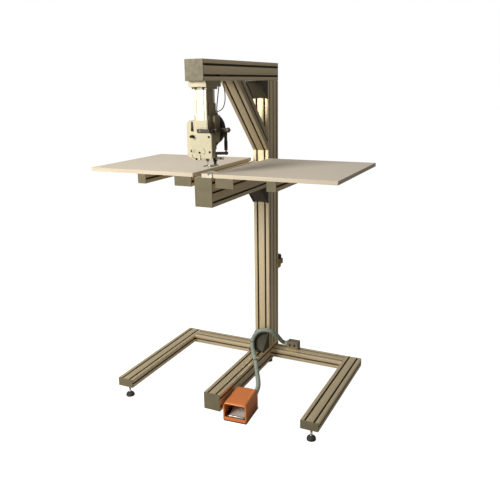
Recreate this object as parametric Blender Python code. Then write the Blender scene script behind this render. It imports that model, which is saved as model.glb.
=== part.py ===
"""Free-standing sewing station: a small sewing head hung from an aluminium profile stand.

Metres, +Z up, -Y towards the operator. The origin is on the floor, under the middle of the
bounding box. Positions along Y are written from the column's centre and moved by COLUMN_Y.
"""
import math

import bmesh
import bpy
from mathutils import Matrix, Vector

# ---- driving dimensions -------------------------------------------------------------------
GAP = 0.0003                # clearance kept between touching pieces
MODULE = 0.040              # profile raster
SLOT_MOUTH = 0.0082         # T-slot mouth width
SLOT_LIP = 0.0045           # lip thickness
SLOT_WIDE = 0.0200          # width behind the lips
SLOT_FLOOR = 0.0110         # width of the slot floor
SLOT_DEPTH = 0.0120         # total slot depth
CAP_T = 0.0037              # end cap thickness

COLUMN_Y = 0.280            # column centre in the part's frame
COLUMN_X = 0.040            # half width of column, arms and centre leg
COLUMN_HALF_Y = 0.060       # half depth of the column
TOP_Z = 1.530               # top of the upper arm
ARM_UNDER_Z = 1.450         # underside of the upper arm
ARM_FRONT_Y = -0.660        # front of the upper arm with its cap
LOWER_TOP_Z = 1.080         # top of the lower arm and the table beams
LOWER_UNDER_Z = 0.960       # underside of the lower arm
LOWER_FRONT_Y = -0.620      # front of the lower arm with its cap

BASE_HALF_X = 0.500         # outer side of the side legs
LEG_FRONT_Y = -0.620        # front of the side legs with caps
CENTER_FRONT_Y = -0.610     # front of the centre leg with its cap
LEG_TOP_Z = 0.100           # top of side legs and cross beams
LEG_UNDER_Z = 0.060         # underside of side legs and cross beams
CENTER_TOP_Z = 0.120        # top of the centre leg
CENTER_UNDER_Z = 0.040      # underside of the centre leg
FOOT_R = 0.020              # foot pad radius
FOOT_X = 0.460              # foot spindle position on the side legs
FOOT_Y = -0.590
REAR_FOOT_Y = 0.020

TABLE_TOP_Z = 1.096
TABLE_IN_X = 0.046          # inner edge of each table
TABLE_OUT_X = 0.558         # outer edge of each table
TABLE_REAR_Y = -0.070
INNER_BEAM_X = (0.055, 0.135)
OUTER_BEAM_X = (0.2755, 0.3155)
RAIL_Y = (-0.340, -0.300)
TABLE_MOUNT_Y = (-0.420, -0.220)

SHAFT_X = -0.004            # main shaft axis
SHAFT_Z = 1.265
SHAFT_R = 0.005
WHEEL_R = 0.066             # handwheel
WHEEL_Y = (-0.5445, -0.512)
NEEDLE_X = 0.018
NEEDLE_Y = -0.608
NEEDLE_TIP_Z = 1.120
PRESSER_X = 0.034
PRESSER_Y = -0.576
FOOT_SOLE_Z = 1.1235        # underside of the raised presser foot
LIFTER_X = 0.073
LIFTER_Y = -0.555
LOOPER_X = 0.018
LOOPER_Z = 1.058

PEDAL_CENTER = (0.104, -0.529)
PEDAL_TURN = math.radians(4.0)
PEDAL_HALF_X = 0.055
PEDAL_HALF_Y = 0.075
PEDAL_H = 0.098
PEDAL_TILT = math.radians(15.0)
HOSE_R = 0.011
CABLE_R = 0.002

# ---- clean start --------------------------------------------------------------------------
for old in list(bpy.data.objects):
    bpy.data.objects.remove(old, do_unlink=True)

MATERIALS = {}


def material(name, color, roughness, metallic):
    """A Principled material, made once for each name."""
    if name not in MATERIALS:
        made = bpy.data.materials.new(name)
        made.use_nodes = True
        shader = made.node_tree.nodes["Principled BSDF"]
        shader.inputs["Base Color"].default_value = (*color, 1.0)
        shader.inputs["Roughness"].default_value = roughness
        shader.inputs["Metallic"].default_value = metallic
        MATERIALS[name] = made
    return MATERIALS[name]


ALUMINIUM = material("anodised_aluminium", (0.56, 0.50, 0.38), 0.42, 0.85)
CAP = material("grey_cap", (0.22, 0.21, 0.15), 0.60, 0.0)
BRACKET = material("dark_bracket", (0.06, 0.05, 0.03), 0.55, 0.0)
STEEL = material("bright_steel", (0.62, 0.60, 0.56), 0.25, 1.0)
BLACK = material("black_paint", (0.015, 0.014, 0.012), 0.35, 0.0)
CREAM = material("cream_paint", (0.66, 0.61, 0.44), 0.40, 0.1)
TAN = material("tan_housing", (0.36, 0.29, 0.17), 0.45, 0.3)
BOARD = material("coated_board", (0.58, 0.48, 0.36), 0.38, 0.0)
BRASS = material("brass", (0.60, 0.45, 0.18), 0.30, 1.0)
ORANGE = material("orange_hood", (0.80, 0.10, 0.02), 0.40, 0.0)
GREY = material("grey_plastic", (0.35, 0.35, 0.33), 0.50, 0.0)
HOSE = material("grey_hose", (0.28, 0.33, 0.28), 0.50, 0.0)
RUBBER = material("black_rubber", (0.03, 0.03, 0.03), 0.80, 0.0)


def place(x, y, z):
    """World point of a position given from the column's centre."""
    return Vector((x, y + COLUMN_Y, z))


def finish(bm, name, mat, origin=(0.0, 0.0, 0.0), smooth=False):
    """Make an object of a bmesh whose vertices are world positions."""
    bmesh.ops.recalc_face_normals(bm, faces=bm.faces)
    origin = Vector(origin)
    bmesh.ops.translate(bm, verts=bm.verts, vec=-origin)
    mesh = bpy.data.meshes.new(name)
    bm.to_mesh(mesh)
    bm.free()
    mesh.materials.append(mat)
    obj = bpy.data.objects.new(name, mesh)
    obj.location = origin
    bpy.context.scene.collection.objects.link(obj)
    if smooth:
        mesh.shade_smooth()
        mesh.set_sharp_from_angle(angle=math.radians(35))
    return obj


def prism(name, outline, axis, low, high, mat, origin=(0.0, 0.0, 0.0), frame=None):
    """Extrude an outline along an axis.

    The outline is in (Y, Z) for axis "X", (X, Z) for axis "Y" and (X, Y) for axis "Z".
    """
    bm = bmesh.new()

    def point(a, b, h):
        if axis == "X":
            return Vector((h, a, b))
        if axis == "Y":
            return Vector((a, h, b))
        return Vector((a, b, h))

    ring = [bm.verts.new(point(a, b, low)) for a, b in outline]
    face = bm.faces.new(ring)
    grown = bmesh.ops.extrude_face_region(bm, geom=[face])
    moved = [e for e in grown["geom"] if isinstance(e, bmesh.types.BMVert)]
    bmesh.ops.translate(bm, verts=moved, vec=point(0.0, 0.0, high - low))
    place_frame(bm, frame)
    return finish(bm, name, mat, origin)


def place_frame(bm, frame):
    """Turn and move a bmesh by a local frame, or by the column's shift alone."""
    matrix = Matrix.Translation((0.0, COLUMN_Y, 0.0)) if frame is None else frame
    bmesh.ops.transform(bm, matrix=matrix, verts=bm.verts)


def box(name, x, y, z, mat, origin=(0.0, 0.0, 0.0), frame=None, bevel=0.0):
    """A block from its three (low, high) ranges, with an optional small bevel."""
    outline = [(x[0], y[0]), (x[1], y[0]), (x[1], y[1]), (x[0], y[1])]
    obj = prism(name, outline, "Z", z[0], z[1], mat, origin, frame)
    if bevel:
        edge = obj.modifiers.new("Bevel", "BEVEL")
        edge.width = bevel
        edge.segments = 1
    return obj


def revolve(name, profile, axis, centre, mat, segments=24, closed=False,
            origin=(0.0, 0.0, 0.0), frame=None):
    """Turn a profile of (radius, height) points about an axis through centre."""
    bm = bmesh.new()
    turn = {"X": Matrix.Rotation(math.radians(90), 4, "Y"),
            "Y": Matrix.Rotation(math.radians(-90), 4, "X"),
            "Z": Matrix.Identity(4)}[axis]
    rings = []
    for radius, height in profile:
        if radius == 0.0:
            rings.append([bm.verts.new((0.0, 0.0, height))])
            continue
        ring = []
        for step in range(segments):
            angle = 2.0 * math.pi * step / segments
            ring.append(bm.verts.new((radius * math.cos(angle), radius * math.sin(angle), height)))
        rings.append(ring)
    pairs = list(zip(rings, rings[1:]))
    if closed:
        pairs.append((rings[-1], rings[0]))
    for lower, upper in pairs:
        for step in range(segments):
            nxt = (step + 1) % segments
            if len(lower) == 1:
                bm.faces.new((lower[0], upper[nxt], upper[step]))
            elif len(upper) == 1:
                bm.faces.new((lower[step], lower[nxt], upper[0]))
            else:
                bm.faces.new((lower[step], lower[nxt], upper[nxt], upper[step]))
    bmesh.ops.transform(bm, matrix=Matrix.Translation(centre) @ turn, verts=bm.verts)
    place_frame(bm, frame)
    return finish(bm, name, mat, origin, smooth=True)


def rod(name, axis, centre, radius, low, high, mat, segments=20, origin=(0.0, 0.0, 0.0), frame=None):
    """A plain cylinder between two heights along its axis."""
    profile = [(0.0, low), (radius, low), (radius, high), (0.0, high)]
    return revolve(name, profile, axis, centre, mat, segments, origin=origin, frame=frame)


def combine(target, tool, operation):
    """Cut a tool from the target, or join it on, with a Boolean modifier."""
    tool.hide_render = True
    tool.display_type = "WIRE"
    change = target.modifiers.new(tool.name, "BOOLEAN")
    change.operation = operation
    change.solver = "EXACT"
    change.object = tool


def slot_points(middle, side_start, direction, inward):
    """Corner points of one T-slot, walked along its side."""
    points = []
    for along, depth in ((-SLOT_MOUTH / 2, 0.0), (-SLOT_MOUTH / 2, SLOT_LIP), (-SLOT_WIDE / 2, SLOT_LIP),
                         (-SLOT_FLOOR / 2, SLOT_DEPTH), (SLOT_FLOOR / 2, SLOT_DEPTH),
                         (SLOT_WIDE / 2, SLOT_LIP), (SLOT_MOUTH / 2, SLOT_LIP), (SLOT_MOUTH / 2, 0.0)):
        a = side_start[0] + direction[0] * (middle + along) + inward[0] * depth
        b = side_start[1] + direction[1] * (middle + along) + inward[1] * depth
        points.append((a, b))
    return points


def slotted_outline(low_a, high_a, low_b, high_b):
    """Outline of a profile bar with one T-slot in the middle of each raster field."""
    sides = (((low_a, low_b), (1, 0), (0, 1), high_a - low_a),
             ((high_a, low_b), (0, 1), (-1, 0), high_b - low_b),
             ((high_a, high_b), (-1, 0), (0, -1), high_a - low_a),
             ((low_a, high_b), (0, -1), (1, 0), high_b - low_b))
    outline = []
    for start, direction, inward, length in sides:
        outline.append(start)
        fields = max(1, round(length / MODULE))
        for field in range(fields):
            middle = (field + 0.5) * length / fields
            outline.extend(slot_points(middle, start, direction, inward))
    return outline


def grooved_outline(low_a, high_a, low_b, high_b):
    """Outline of the head's post: two shallow grooves in each side."""
    box_points = [(low_a, low_b), (high_a, low_b), (high_a, high_b), (low_a, high_b)]
    outline = []
    for i in range(4):
        (a0, b0), (a1, b1) = box_points[i], box_points[(i + 1) % 4]
        length = math.hypot(a1 - a0, b1 - b0)
        da, db = (a1 - a0) / length, (b1 - b0) / length
        outline.append((a0, b0))
        for middle in (length / 2 - 0.0165, length / 2 + 0.0165):
            for along, depth in ((-0.003, 0.0), (-0.003, 0.0025), (0.003, 0.0025), (0.003, 0.0)):
                outline.append((a0 + da * (middle + along) - db * depth, b0 + db * (middle + along) + da * depth))
    return outline


def chamber_outlines(low_a, high_a, low_b, high_b):
    """Outlines of the closed chambers: between neighbouring slots, where four fields meet, and bores."""
    wide = max(1, round((high_a - low_a) / MODULE))
    deep = max(1, round((high_b - low_b) / MODULE))
    outlines = []
    half = 0.0085
    for i in range(1, wide):
        a = low_a + i * MODULE
        outlines.append([(a - 0.0060, low_b + 0.0035), (a + 0.0060, low_b + 0.0035),
                         (a + 0.0060, high_b - 0.0035), (a - 0.0060, high_b - 0.0035)])
    for j in range(1, deep):
        b = low_b + j * MODULE
        outlines.append([(low_a + 0.0035, b - 0.0060), (high_a - 0.0035, b - 0.0060),
                         (high_a - 0.0035, b + 0.0060), (low_a + 0.0035, b + 0.0060)])
    for i in range(1, wide):
        for j in range(1, deep):
            a, b = low_a + i * MODULE, low_b + j * MODULE
            outlines.append([(a - half - 0.003, b - half), (a - half, b - half - 0.003),
                             (a + half, b - half - 0.003), (a + half + 0.003, b - half),
                             (a + half + 0.003, b + half), (a + half, b + half + 0.003),
                             (a - half, b + half + 0.003), (a - half - 0.003, b + half)])
    for i in range(wide):
        for j in range(deep):
            a, b = low_a + (i + 0.5) * MODULE, low_b + (j + 0.5) * MODULE
            outlines.append([(a + 0.0036 * math.cos(math.radians(t)), b + 0.0036 * math.sin(math.radians(t)))
                             for t in range(0, 360, 45)])
    return outlines


def bar(name, a, b, axis, ends):
    """A profile bar with its slots and its closed chambers."""
    made = prism(name, slotted_outline(a[0], a[1], b[0], b[1]), axis, ends[0], ends[1], ALUMINIUM)
    for number, outline in enumerate(chamber_outlines(a[0], a[1], b[0], b[1])):
        combine(made, prism("cut_" + name + "_" + str(number), outline, axis, ends[0] - 0.01, ends[1] + 0.01,
                            ALUMINIUM), "DIFFERENCE")
    return made


def bar_x(name, x, y, z):
    return bar(name, y, z, "X", x)


def bar_y(name, x, y, z):
    return bar(name, x, z, "Y", y)


def bar_z(name, x, y, z):
    return bar(name, x, y, "Z", z)


# ---- stand: column, arms, brace ------------------------------------------------------------
CX = (-COLUMN_X, COLUMN_X)
bar_z("column", CX, (-COLUMN_HALF_Y, COLUMN_HALF_Y), (CENTER_TOP_Z + GAP, ARM_UNDER_Z - GAP))
bar_y("arm_upper", CX, (ARM_FRONT_Y + CAP_T + GAP, COLUMN_HALF_Y - CAP_T - GAP), (ARM_UNDER_Z, TOP_Z))
lower_arm = bar_y("arm_lower", CX, (LOWER_FRONT_Y + CAP_T + GAP, -COLUMN_HALF_Y - GAP),
                  (LOWER_UNDER_Z, LOWER_TOP_Z))
LOOPER_POCKET = box("cut_looper_pocket", (0.0, 0.036), (-0.6130, -0.5450), (1.040, 1.0900), STEEL)
combine(lower_arm, LOOPER_POCKET, "DIFFERENCE")
combine(lower_arm, rod("cut_looper_bore", "Y", (LOOPER_X, 0.0, LOOPER_Z), 0.0045, -0.550, -0.518, STEEL, 16),
        "DIFFERENCE")


def brace():
    """The 45 degree strut, its two ends cut flat against the arm and the column."""
    half = 0.0264
    bm = bmesh.new()
    outline = slotted_outline(-COLUMN_X, COLUMN_X, -half, half)
    mid = Vector((0.0, -0.2003, 1.3097))
    along = Vector((0.0, -1.0, 1.0)).normalized()
    out = Vector((0.0, -1.0, -1.0)).normalized()
    upper = []
    lower = []
    for a, b in outline:
        base = mid + Vector((a, 0.0, 0.0)) + out * b
        to_top = (ARM_UNDER_Z - GAP - base.z) / along.z
        to_column = (-COLUMN_HALF_Y - GAP - base.y) / along.y
        upper.append(bm.verts.new(base + along * to_top))
        lower.append(bm.verts.new(base + along * to_column))
    bm.faces.new(upper)
    bm.faces.new(list(reversed(lower)))
    count = len(outline)
    for i in range(count):
        j = (i + 1) % count
        bm.faces.new((upper[i], upper[j], lower[j], lower[i]))
    place_frame(bm, None)
    made = finish(bm, "brace", ALUMINIUM)
    frame = Matrix((( 1.0, 0.0, 0.0), (0.0, out.y, along.y), (0.0, out.z, along.z))).to_4x4()
    frame.translation = mid + Vector((0.0, COLUMN_Y, 0.0))
    for number, outline in enumerate([[(-0.0060, -0.0229), (0.0060, -0.0229), (0.0060, 0.0229), (-0.0060, 0.0229)],
                                      [(-0.0240, -0.0130), (-0.0160, -0.0130), (-0.0160, 0.0130), (-0.0240, 0.0130)],
                                      [(0.0160, -0.0130), (0.0240, -0.0130), (0.0240, 0.0130), (0.0160, 0.0130)]]):
        tool = prism("cut_brace_" + str(number), outline, "Z", -0.30, 0.30, ALUMINIUM, frame=frame)
        combine(made, tool, "DIFFERENCE")
    return made


brace()

# ---- stand: base ----------------------------------------------------------------------------
bar_y("base_leg_center", CX, (CENTER_FRONT_Y + CAP_T + GAP, COLUMN_HALF_Y), (CENTER_UNDER_Z, CENTER_TOP_Z))
center_leg = bpy.data.objects["base_leg_center"]
combine(center_leg, rod("cut_foot_rear", "Z", (0.0, REAR_FOOT_Y, 0.0), 0.0056, 0.030, 0.085, STEEL, 12),
        "DIFFERENCE")
for side, sign in (("left", -1.0), ("right", 1.0)):
    xs = sorted((sign * (BASE_HALF_X - 2 * MODULE), sign * BASE_HALF_X))
    leg = bar_y("base_leg_" + side, xs, (LEG_FRONT_Y + CAP_T + GAP, MODULE), (LEG_UNDER_Z, LEG_TOP_Z))
    combine(leg, rod("cut_foot_" + side, "Z", (sign * FOOT_X, FOOT_Y, 0.0), 0.0056, 0.050, 0.0965, STEEL, 12),
            "DIFFERENCE")
    xs = sorted((sign * (COLUMN_X + GAP), sign * (BASE_HALF_X - 2 * MODULE - GAP)))
    bar_x("base_beam_" + side, xs, (-MODULE, MODULE), (LEG_UNDER_Z, LEG_TOP_Z))


def end_cap(name, x, y, z):
    return box(name, x, y, z, CAP, bevel=0.0012)


end_cap("cap_arm_upper_front", CX, (ARM_FRONT_Y, ARM_FRONT_Y + CAP_T), (ARM_UNDER_Z, TOP_Z))
end_cap("cap_arm_upper_rear", CX, (COLUMN_HALF_Y - CAP_T, COLUMN_HALF_Y), (ARM_UNDER_Z, TOP_Z))
lower_cap = box("cap_arm_lower", CX, (LOWER_FRONT_Y, LOWER_FRONT_Y + CAP_T), (LOWER_UNDER_Z, LOWER_TOP_Z), CAP)
combine(lower_cap, box("cut_cap_groove", (-0.0011, 0.0011), (LOWER_FRONT_Y - 0.002, LOWER_FRONT_Y + 0.0018),
                       (LOWER_UNDER_Z - 0.01, LOWER_TOP_Z + 0.01), CAP), "DIFFERENCE")
end_cap("cap_leg_center", CX, (CENTER_FRONT_Y, CENTER_FRONT_Y + CAP_T), (CENTER_UNDER_Z, CENTER_TOP_Z))
for side, sign in (("left", -1.0), ("right", 1.0)):
    xs = sorted((sign * (BASE_HALF_X - 2 * MODULE), sign * BASE_HALF_X))
    end_cap("cap_leg_" + side, xs, (LEG_FRONT_Y, LEG_FRONT_Y + CAP_T), (LEG_UNDER_Z, LEG_TOP_Z))


def gusset(name, corner_z, up):
    """An 80 mm corner bracket with its sloping cover, in the corner of column and arm or leg."""
    size = 2 * MODULE - GAP
    rim = 0.010
    y0 = -COLUMN_HALF_Y - GAP
    z0 = corner_z + up * GAP
    outline = [(y0, z0), (y0 - size, z0), (y0 - size, z0 + up * rim), (y0 - rim, z0 + up * size),
               (y0, z0 + up * size)]
    return prism(name, outline, "X", -COLUMN_X + 0.0005, COLUMN_X - 0.0005, BRACKET)


gusset("bracket_upper", ARM_UNDER_Z, -1.0)
gusset("bracket_lower", LOWER_UNDER_Z, -1.0)
gusset("bracket_base", CENTER_TOP_Z, 1.0)


def levelling_foot(name, x, y, under_z):
    """Pad, ball neck, lock nut and spindle of one levelling foot, turned in one piece."""
    profile = [(0.0, 0.0), (FOOT_R, 0.0), (FOOT_R, 0.007), (0.0165, 0.014), (0.0085, 0.019),
               (0.005, 0.0205), (0.005, under_z - 0.0095), (0.0092, under_z - 0.0095),
               (0.0092, under_z - 0.0015), (0.005, under_z - 0.0015), (0.005, under_z + 0.022),
               (0.0, under_z + 0.022)]
    return revolve(name, profile, "Z", (x, y, 0.0), RUBBER, 24, origin=place(x, y, under_z))


levelling_foot("foot_left", -FOOT_X, FOOT_Y, LEG_UNDER_Z)
levelling_foot("foot_right", FOOT_X, FOOT_Y, LEG_UNDER_Z)
levelling_foot("foot_rear", 0.0, REAR_FOOT_Y, CENTER_UNDER_Z)

# ---- work tables -----------------------------------------------------------------------------
for side, sign in (("left", -1.0), ("right", 1.0)):
    xs = sorted((sign * TABLE_IN_X, sign * TABLE_OUT_X))
    box("table_" + side, xs, (LOWER_FRONT_Y, TABLE_REAR_Y), (LOWER_TOP_Z + GAP, TABLE_TOP_Z), BOARD)
    under = (LOWER_TOP_Z - MODULE, LOWER_TOP_Z)
    xs = sorted((sign * INNER_BEAM_X[0], sign * INNER_BEAM_X[1]))
    bar_y("table_beam_inner_" + side, xs, (LOWER_FRONT_Y + 0.001, -0.075), under)
    xs = sorted((sign * OUTER_BEAM_X[0], sign * OUTER_BEAM_X[1]))
    bar_y("table_beam_outer_" + side, xs, (LOWER_FRONT_Y + 0.001, -0.075), under)
    xs = sorted((sign * (INNER_BEAM_X[1] + GAP), sign * (OUTER_BEAM_X[0] - GAP)))
    bar_x("table_rail_" + side, xs, RAIL_Y, under)
    xs = sorted((sign * (COLUMN_X + GAP), sign * (INNER_BEAM_X[0] - GAP)))
    box("table_mount_" + side, xs, TABLE_MOUNT_Y, (1.022, 1.078), STEEL, bevel=0.001)

# ---- sewing head: hanger and castings ---------------------------------------------------------
HANGER_UNDER = 1.4280
plate = box("head_mount", (-0.040, 0.040), (-0.640, -0.520), (HANGER_UNDER, ARM_UNDER_Z - GAP), CREAM)
combine(plate, box("join_collar", (-0.034, 0.034), (-0.626, -0.540), (1.4190, HANGER_UNDER + 0.004), CREAM),
        "UNION")
post_outline = grooved_outline(-0.026, 0.026, -0.618, -0.548)
prism("head_post", post_outline, "Z", 1.3030 + GAP, 1.4190 - GAP, ALUMINIUM)

front_outline = [(-0.0545, 1.1580), (0.0455, 1.1580), (0.0515, 1.1640), (0.0515, 1.2480), (0.0460, 1.2555),
                 (0.0320, 1.2555), (0.0320, 1.3030), (-0.0500, 1.3030), (-0.0595, 1.2965), (-0.0630, 1.2860),
                 (-0.0630, 1.1680)]
casting = prism("head_casting", front_outline, "Y", -0.6250, -0.5900, CREAM)
combine(casting, box("cut_lower_rear", (-0.080, 0.080), (-0.6000, -0.580), (1.140, 1.2250), CREAM), "DIFFERENCE")
combine(casting, box("cut_mechanism", (-0.034, 0.044), (-0.630, -0.6035), (1.168, 1.2460), CREAM), "DIFFERENCE")
combine(casting, rod("cut_needle_bore", "Z", (NEEDLE_X, NEEDLE_Y, 0.0), 0.0040, 1.145, 1.296, CREAM, 16),
        "DIFFERENCE")
combine(casting, rod("cut_shaft_bore", "Y", (SHAFT_X, 0.0, SHAFT_Z), 0.0055, -0.605, -0.580, CREAM, 16),
        "DIFFERENCE")
combine(casting, rod("cut_disc_room", "Y", (SHAFT_X, 0.0, SHAFT_Z), 0.0215, -0.630, -0.5975, CREAM, 24),
        "DIFFERENCE")

housing_outline = [(-0.0455, 1.3200), (-0.0455, 1.2140), (-0.0310, 1.1900), (-0.0250, 1.1860), (0.0250, 1.1860),
                   (0.0310, 1.1900), (0.0455, 1.2140), (0.0455, 1.3200)]
housing = prism("motor_housing", housing_outline, "Y", -0.5900 + GAP, -0.5460, TAN)
combine(housing, box("cut_post_room", (-0.0265, 0.0265), (-0.600, -0.5477), (1.3025, 1.3300), TAN), "DIFFERENCE")
combine(housing, rod("cut_housing_bore", "Y", (SHAFT_X, 0.0, SHAFT_Z), 0.0055, -0.600, -0.530, TAN, 16),
        "DIFFERENCE")
combine(housing, rod("join_bush", "Z", (PRESSER_X, PRESSER_Y, 0.0), 0.0075, 1.1880, 1.2100, TAN, 20), "UNION")
combine(housing, rod("cut_bar_bore", "Z", (PRESSER_X, PRESSER_Y, 0.0), 0.0045, 1.170, 1.2560, TAN, 16),
        "DIFFERENCE")
combine(housing, rod("join_cable_boss", "Z", (0.040, -0.562, 0.0), 0.0040, 1.316, 1.331, TAN, 12), "UNION")

plate_outline = [(0.0020, 1.1570), (0.0455, 1.1570), (0.0515, 1.1630), (0.0515, 1.2480), (0.0440, 1.2550),
                 (-0.0470, 1.2550), (-0.0470, 1.1680), (-0.0330, 1.1520), (-0.0240, 1.1490), (-0.0020, 1.1490)]
face_plate = prism("face_plate", plate_outline, "Y", -0.6330, -0.6250 - GAP, CREAM)

# ---- sewing head: main shaft, needle bar -------------------------------------------------------
shaft_origin = place(SHAFT_X, WHEEL_Y[0], SHAFT_Z)
shaft_profile = [(0.0, -0.6035), (0.0200, -0.6035), (0.0200, -0.5985), (SHAFT_R, -0.5985),
                 (SHAFT_R, -0.5445 - GAP), (0.0, -0.5445 - GAP)]
main_shaft = revolve("main_shaft", shaft_profile, "Y", (SHAFT_X, 0.0, SHAFT_Z), STEEL, 32, origin=shaft_origin)
combine(main_shaft, box("cut_counterweight", (SHAFT_X - 0.03, SHAFT_X - 0.011), (-0.610, -0.5984),
                        (SHAFT_Z - 0.03, SHAFT_Z + 0.03), STEEL), "DIFFERENCE")
wheel_profile = [(0.0, WHEEL_Y[0]), (0.0600, WHEEL_Y[0]), (WHEEL_R, WHEEL_Y[0] + 0.004),
                 (WHEEL_R, WHEEL_Y[0] + 0.012), (0.0625, WHEEL_Y[0] + 0.016), (0.0520, WHEEL_Y[0] + 0.022),
                 (0.0380, WHEEL_Y[0] + 0.027), (0.0200, WHEEL_Y[0] + 0.031), (0.0, WHEEL_Y[1])]
revolve("handwheel", wheel_profile, "Y", (SHAFT_X, 0.0, SHAFT_Z), BLACK, 40, origin=shaft_origin)

needle_origin = place(NEEDLE_X, NEEDLE_Y, 1.150)
bar_profile = [(0.0, 1.1440), (0.0070, 1.1440), (0.0070, 1.1560), (0.0035, 1.1560), (0.0035, 1.2820),
               (0.0, 1.2820)]
revolve("needle_bar", bar_profile, "Z", (NEEDLE_X, NEEDLE_Y, 0.0), STEEL, 16, origin=needle_origin)
needle_profile = [(0.0, NEEDLE_TIP_Z), (0.0007, NEEDLE_TIP_Z + 0.006), (0.0007, NEEDLE_TIP_Z + 0.016),
                  (0.0012, NEEDLE_TIP_Z + 0.018), (0.0012, 1.1440 - GAP), (0.0, 1.1440 - GAP)]
revolve("needle", needle_profile, "Z", (NEEDLE_X, NEEDLE_Y, 0.0), STEEL, 8, origin=needle_origin)

take_origin = place(-0.037, -0.6275, 1.2665)
take_outline = [(-0.0410, 1.2610), (-0.0330, 1.2610), (-0.0330, 1.2720), (-0.0350, 1.2990), (-0.0390, 1.2990),
                (-0.0410, 1.2720)]
take_up = prism("take_up_lever", take_outline, "Y", -0.6290, -0.6260, STEEL, take_origin)
combine(take_up, rod("cut_eye", "Y", (-0.037, 0.0, 1.2950), 0.0011, -0.631, -0.624, STEEL, 8), "DIFFERENCE")
tension_profile = [(0.0, -0.6490), (0.0045, -0.6490), (0.0055, -0.6475), (0.0055, -0.6410), (0.0035, -0.6410),
                   (0.0035, -0.6385), (0.0065, -0.6375), (0.0065, -0.6350), (0.0030, -0.6340),
                   (0.0030, -0.6330 - GAP), (0.0, -0.6330 - GAP)]
revolve("tension_knob", tension_profile, "Y", (-0.031, 0.0, 1.2420), STEEL, 20,
        origin=place(-0.031, -0.6330, 1.2420))

# ---- sewing head: presser foot and its lifter ---------------------------------------------------
presser_origin = place(PRESSER_X, PRESSER_Y, 1.167)
rod("presser_bar", "Z", (PRESSER_X, PRESSER_Y, 0.0), 0.0040, 1.1672 + GAP, 1.2480, STEEL, 16,
    origin=presser_origin)
sole_outline = [(0.0040, -0.6190), (0.0100, -0.6190), (0.0100, -0.5980), (0.0262, -0.5980), (0.0262, -0.6190),
                (0.0400, -0.6190), (0.0440, -0.6150), (0.0440, -0.5640), (0.0240, -0.5640), (0.0240, -0.5860),
                (0.0040, -0.5920)]
foot = prism("presser_foot", sole_outline, "Z", FOOT_SOLE_Z, FOOT_SOLE_Z + 0.0035, BLACK, presser_origin)
combine(foot, box("join_ankle", (0.0280, 0.0410), (-0.5840, -0.5690), (FOOT_SOLE_Z + 0.002, 1.1672), BLACK),
        "UNION")
combine(foot, box("join_lever", (0.0400, 0.0740), (-0.5840, -0.5720), (1.1490, 1.1580), BLACK),
        "UNION")

bracket_outline = [(-0.0120, -0.6345), (0.0445, -0.6345), (0.0445, -0.6060), (0.0600, -0.6060),
                   (0.0600, -0.5640), (0.0820, -0.5640), (0.0820, -0.5460), (0.0480, -0.5460),
                   (0.0480, -0.5960), (0.0325, -0.5960), (0.0325, -0.6255), (-0.0120, -0.6255)]
lifter_bracket = prism("lifter_bracket", bracket_outline, "Z", 1.2560, 1.2705, BLACK)
combine(lifter_bracket, rod("join_fitting", "X", (0.0, -0.5550, 1.2630), 0.0100, 0.0800, 0.0930, GREY, 20), "UNION")
cylinder_profile = [(0.0040, 1.1840), (0.0070, 1.1840), (0.0070, 1.2480), (0.0055, 1.2560 - GAP),
                    (0.0040, 1.2560 - GAP)]
revolve("lifter_cylinder", cylinder_profile, "Z", (LIFTER_X, LIFTER_Y, 0.0), BLACK, 20, closed=True)
link_outline = [(0.0262, -0.5850), (0.0400, -0.5850), (0.0800, -0.5625), (0.0800, -0.5475), (0.0660, -0.5475),
                (0.0262, -0.5670)]
link = prism("lifter_link", link_outline, "Z", 1.1675, 1.1775, GREY, presser_origin)
combine(link, rod("cut_link_bore", "Z", (PRESSER_X, PRESSER_Y, 0.0), 0.0043, 1.150, 1.195, GREY, 16), "DIFFERENCE")
combine(link, rod("join_rod", "Z", (LIFTER_X, LIFTER_Y, 0.0), 0.0036, 1.1690, 1.2420, GREY, 16), "UNION")

# ---- lower arm: throat plate and looper ----------------------------------------------------------
throat = box("throat_plate", (-0.0060, 0.0400), (-0.6200, -0.5400), (LOWER_TOP_Z + GAP, TABLE_TOP_Z), STEEL)
combine(throat, rod("cut_needle_hole", "Z", (NEEDLE_X, NEEDLE_Y, 0.0), 0.0030, 1.070, 1.105, STEEL, 12),
        "DIFFERENCE")
combine(throat, box("cut_throat_slot", (0.0245, 0.0295), (-0.6300, -0.5600), (1.0910, 1.1000), STEEL),
        "DIFFERENCE")
looper_profile = [(0.0, -0.6060), (0.0070, -0.6060), (0.0130, -0.6030), (0.0130, -0.5990), (SHAFT_R - 0.001, -0.5980),
                  (SHAFT_R - 0.001, -0.5200), (0.0, -0.5200)]
looper = revolve("looper_shaft", looper_profile, "Y", (LOOPER_X, 0.0, LOOPER_Z), STEEL, 28,
                 origin=place(LOOPER_X, -0.600, LOOPER_Z))
combine(looper, box("cut_hook", (LOOPER_X + 0.004, LOOPER_X + 0.02), (-0.610, -0.5982), (LOOPER_Z, LOOPER_Z + 0.02),
                    STEEL), "DIFFERENCE")

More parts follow.
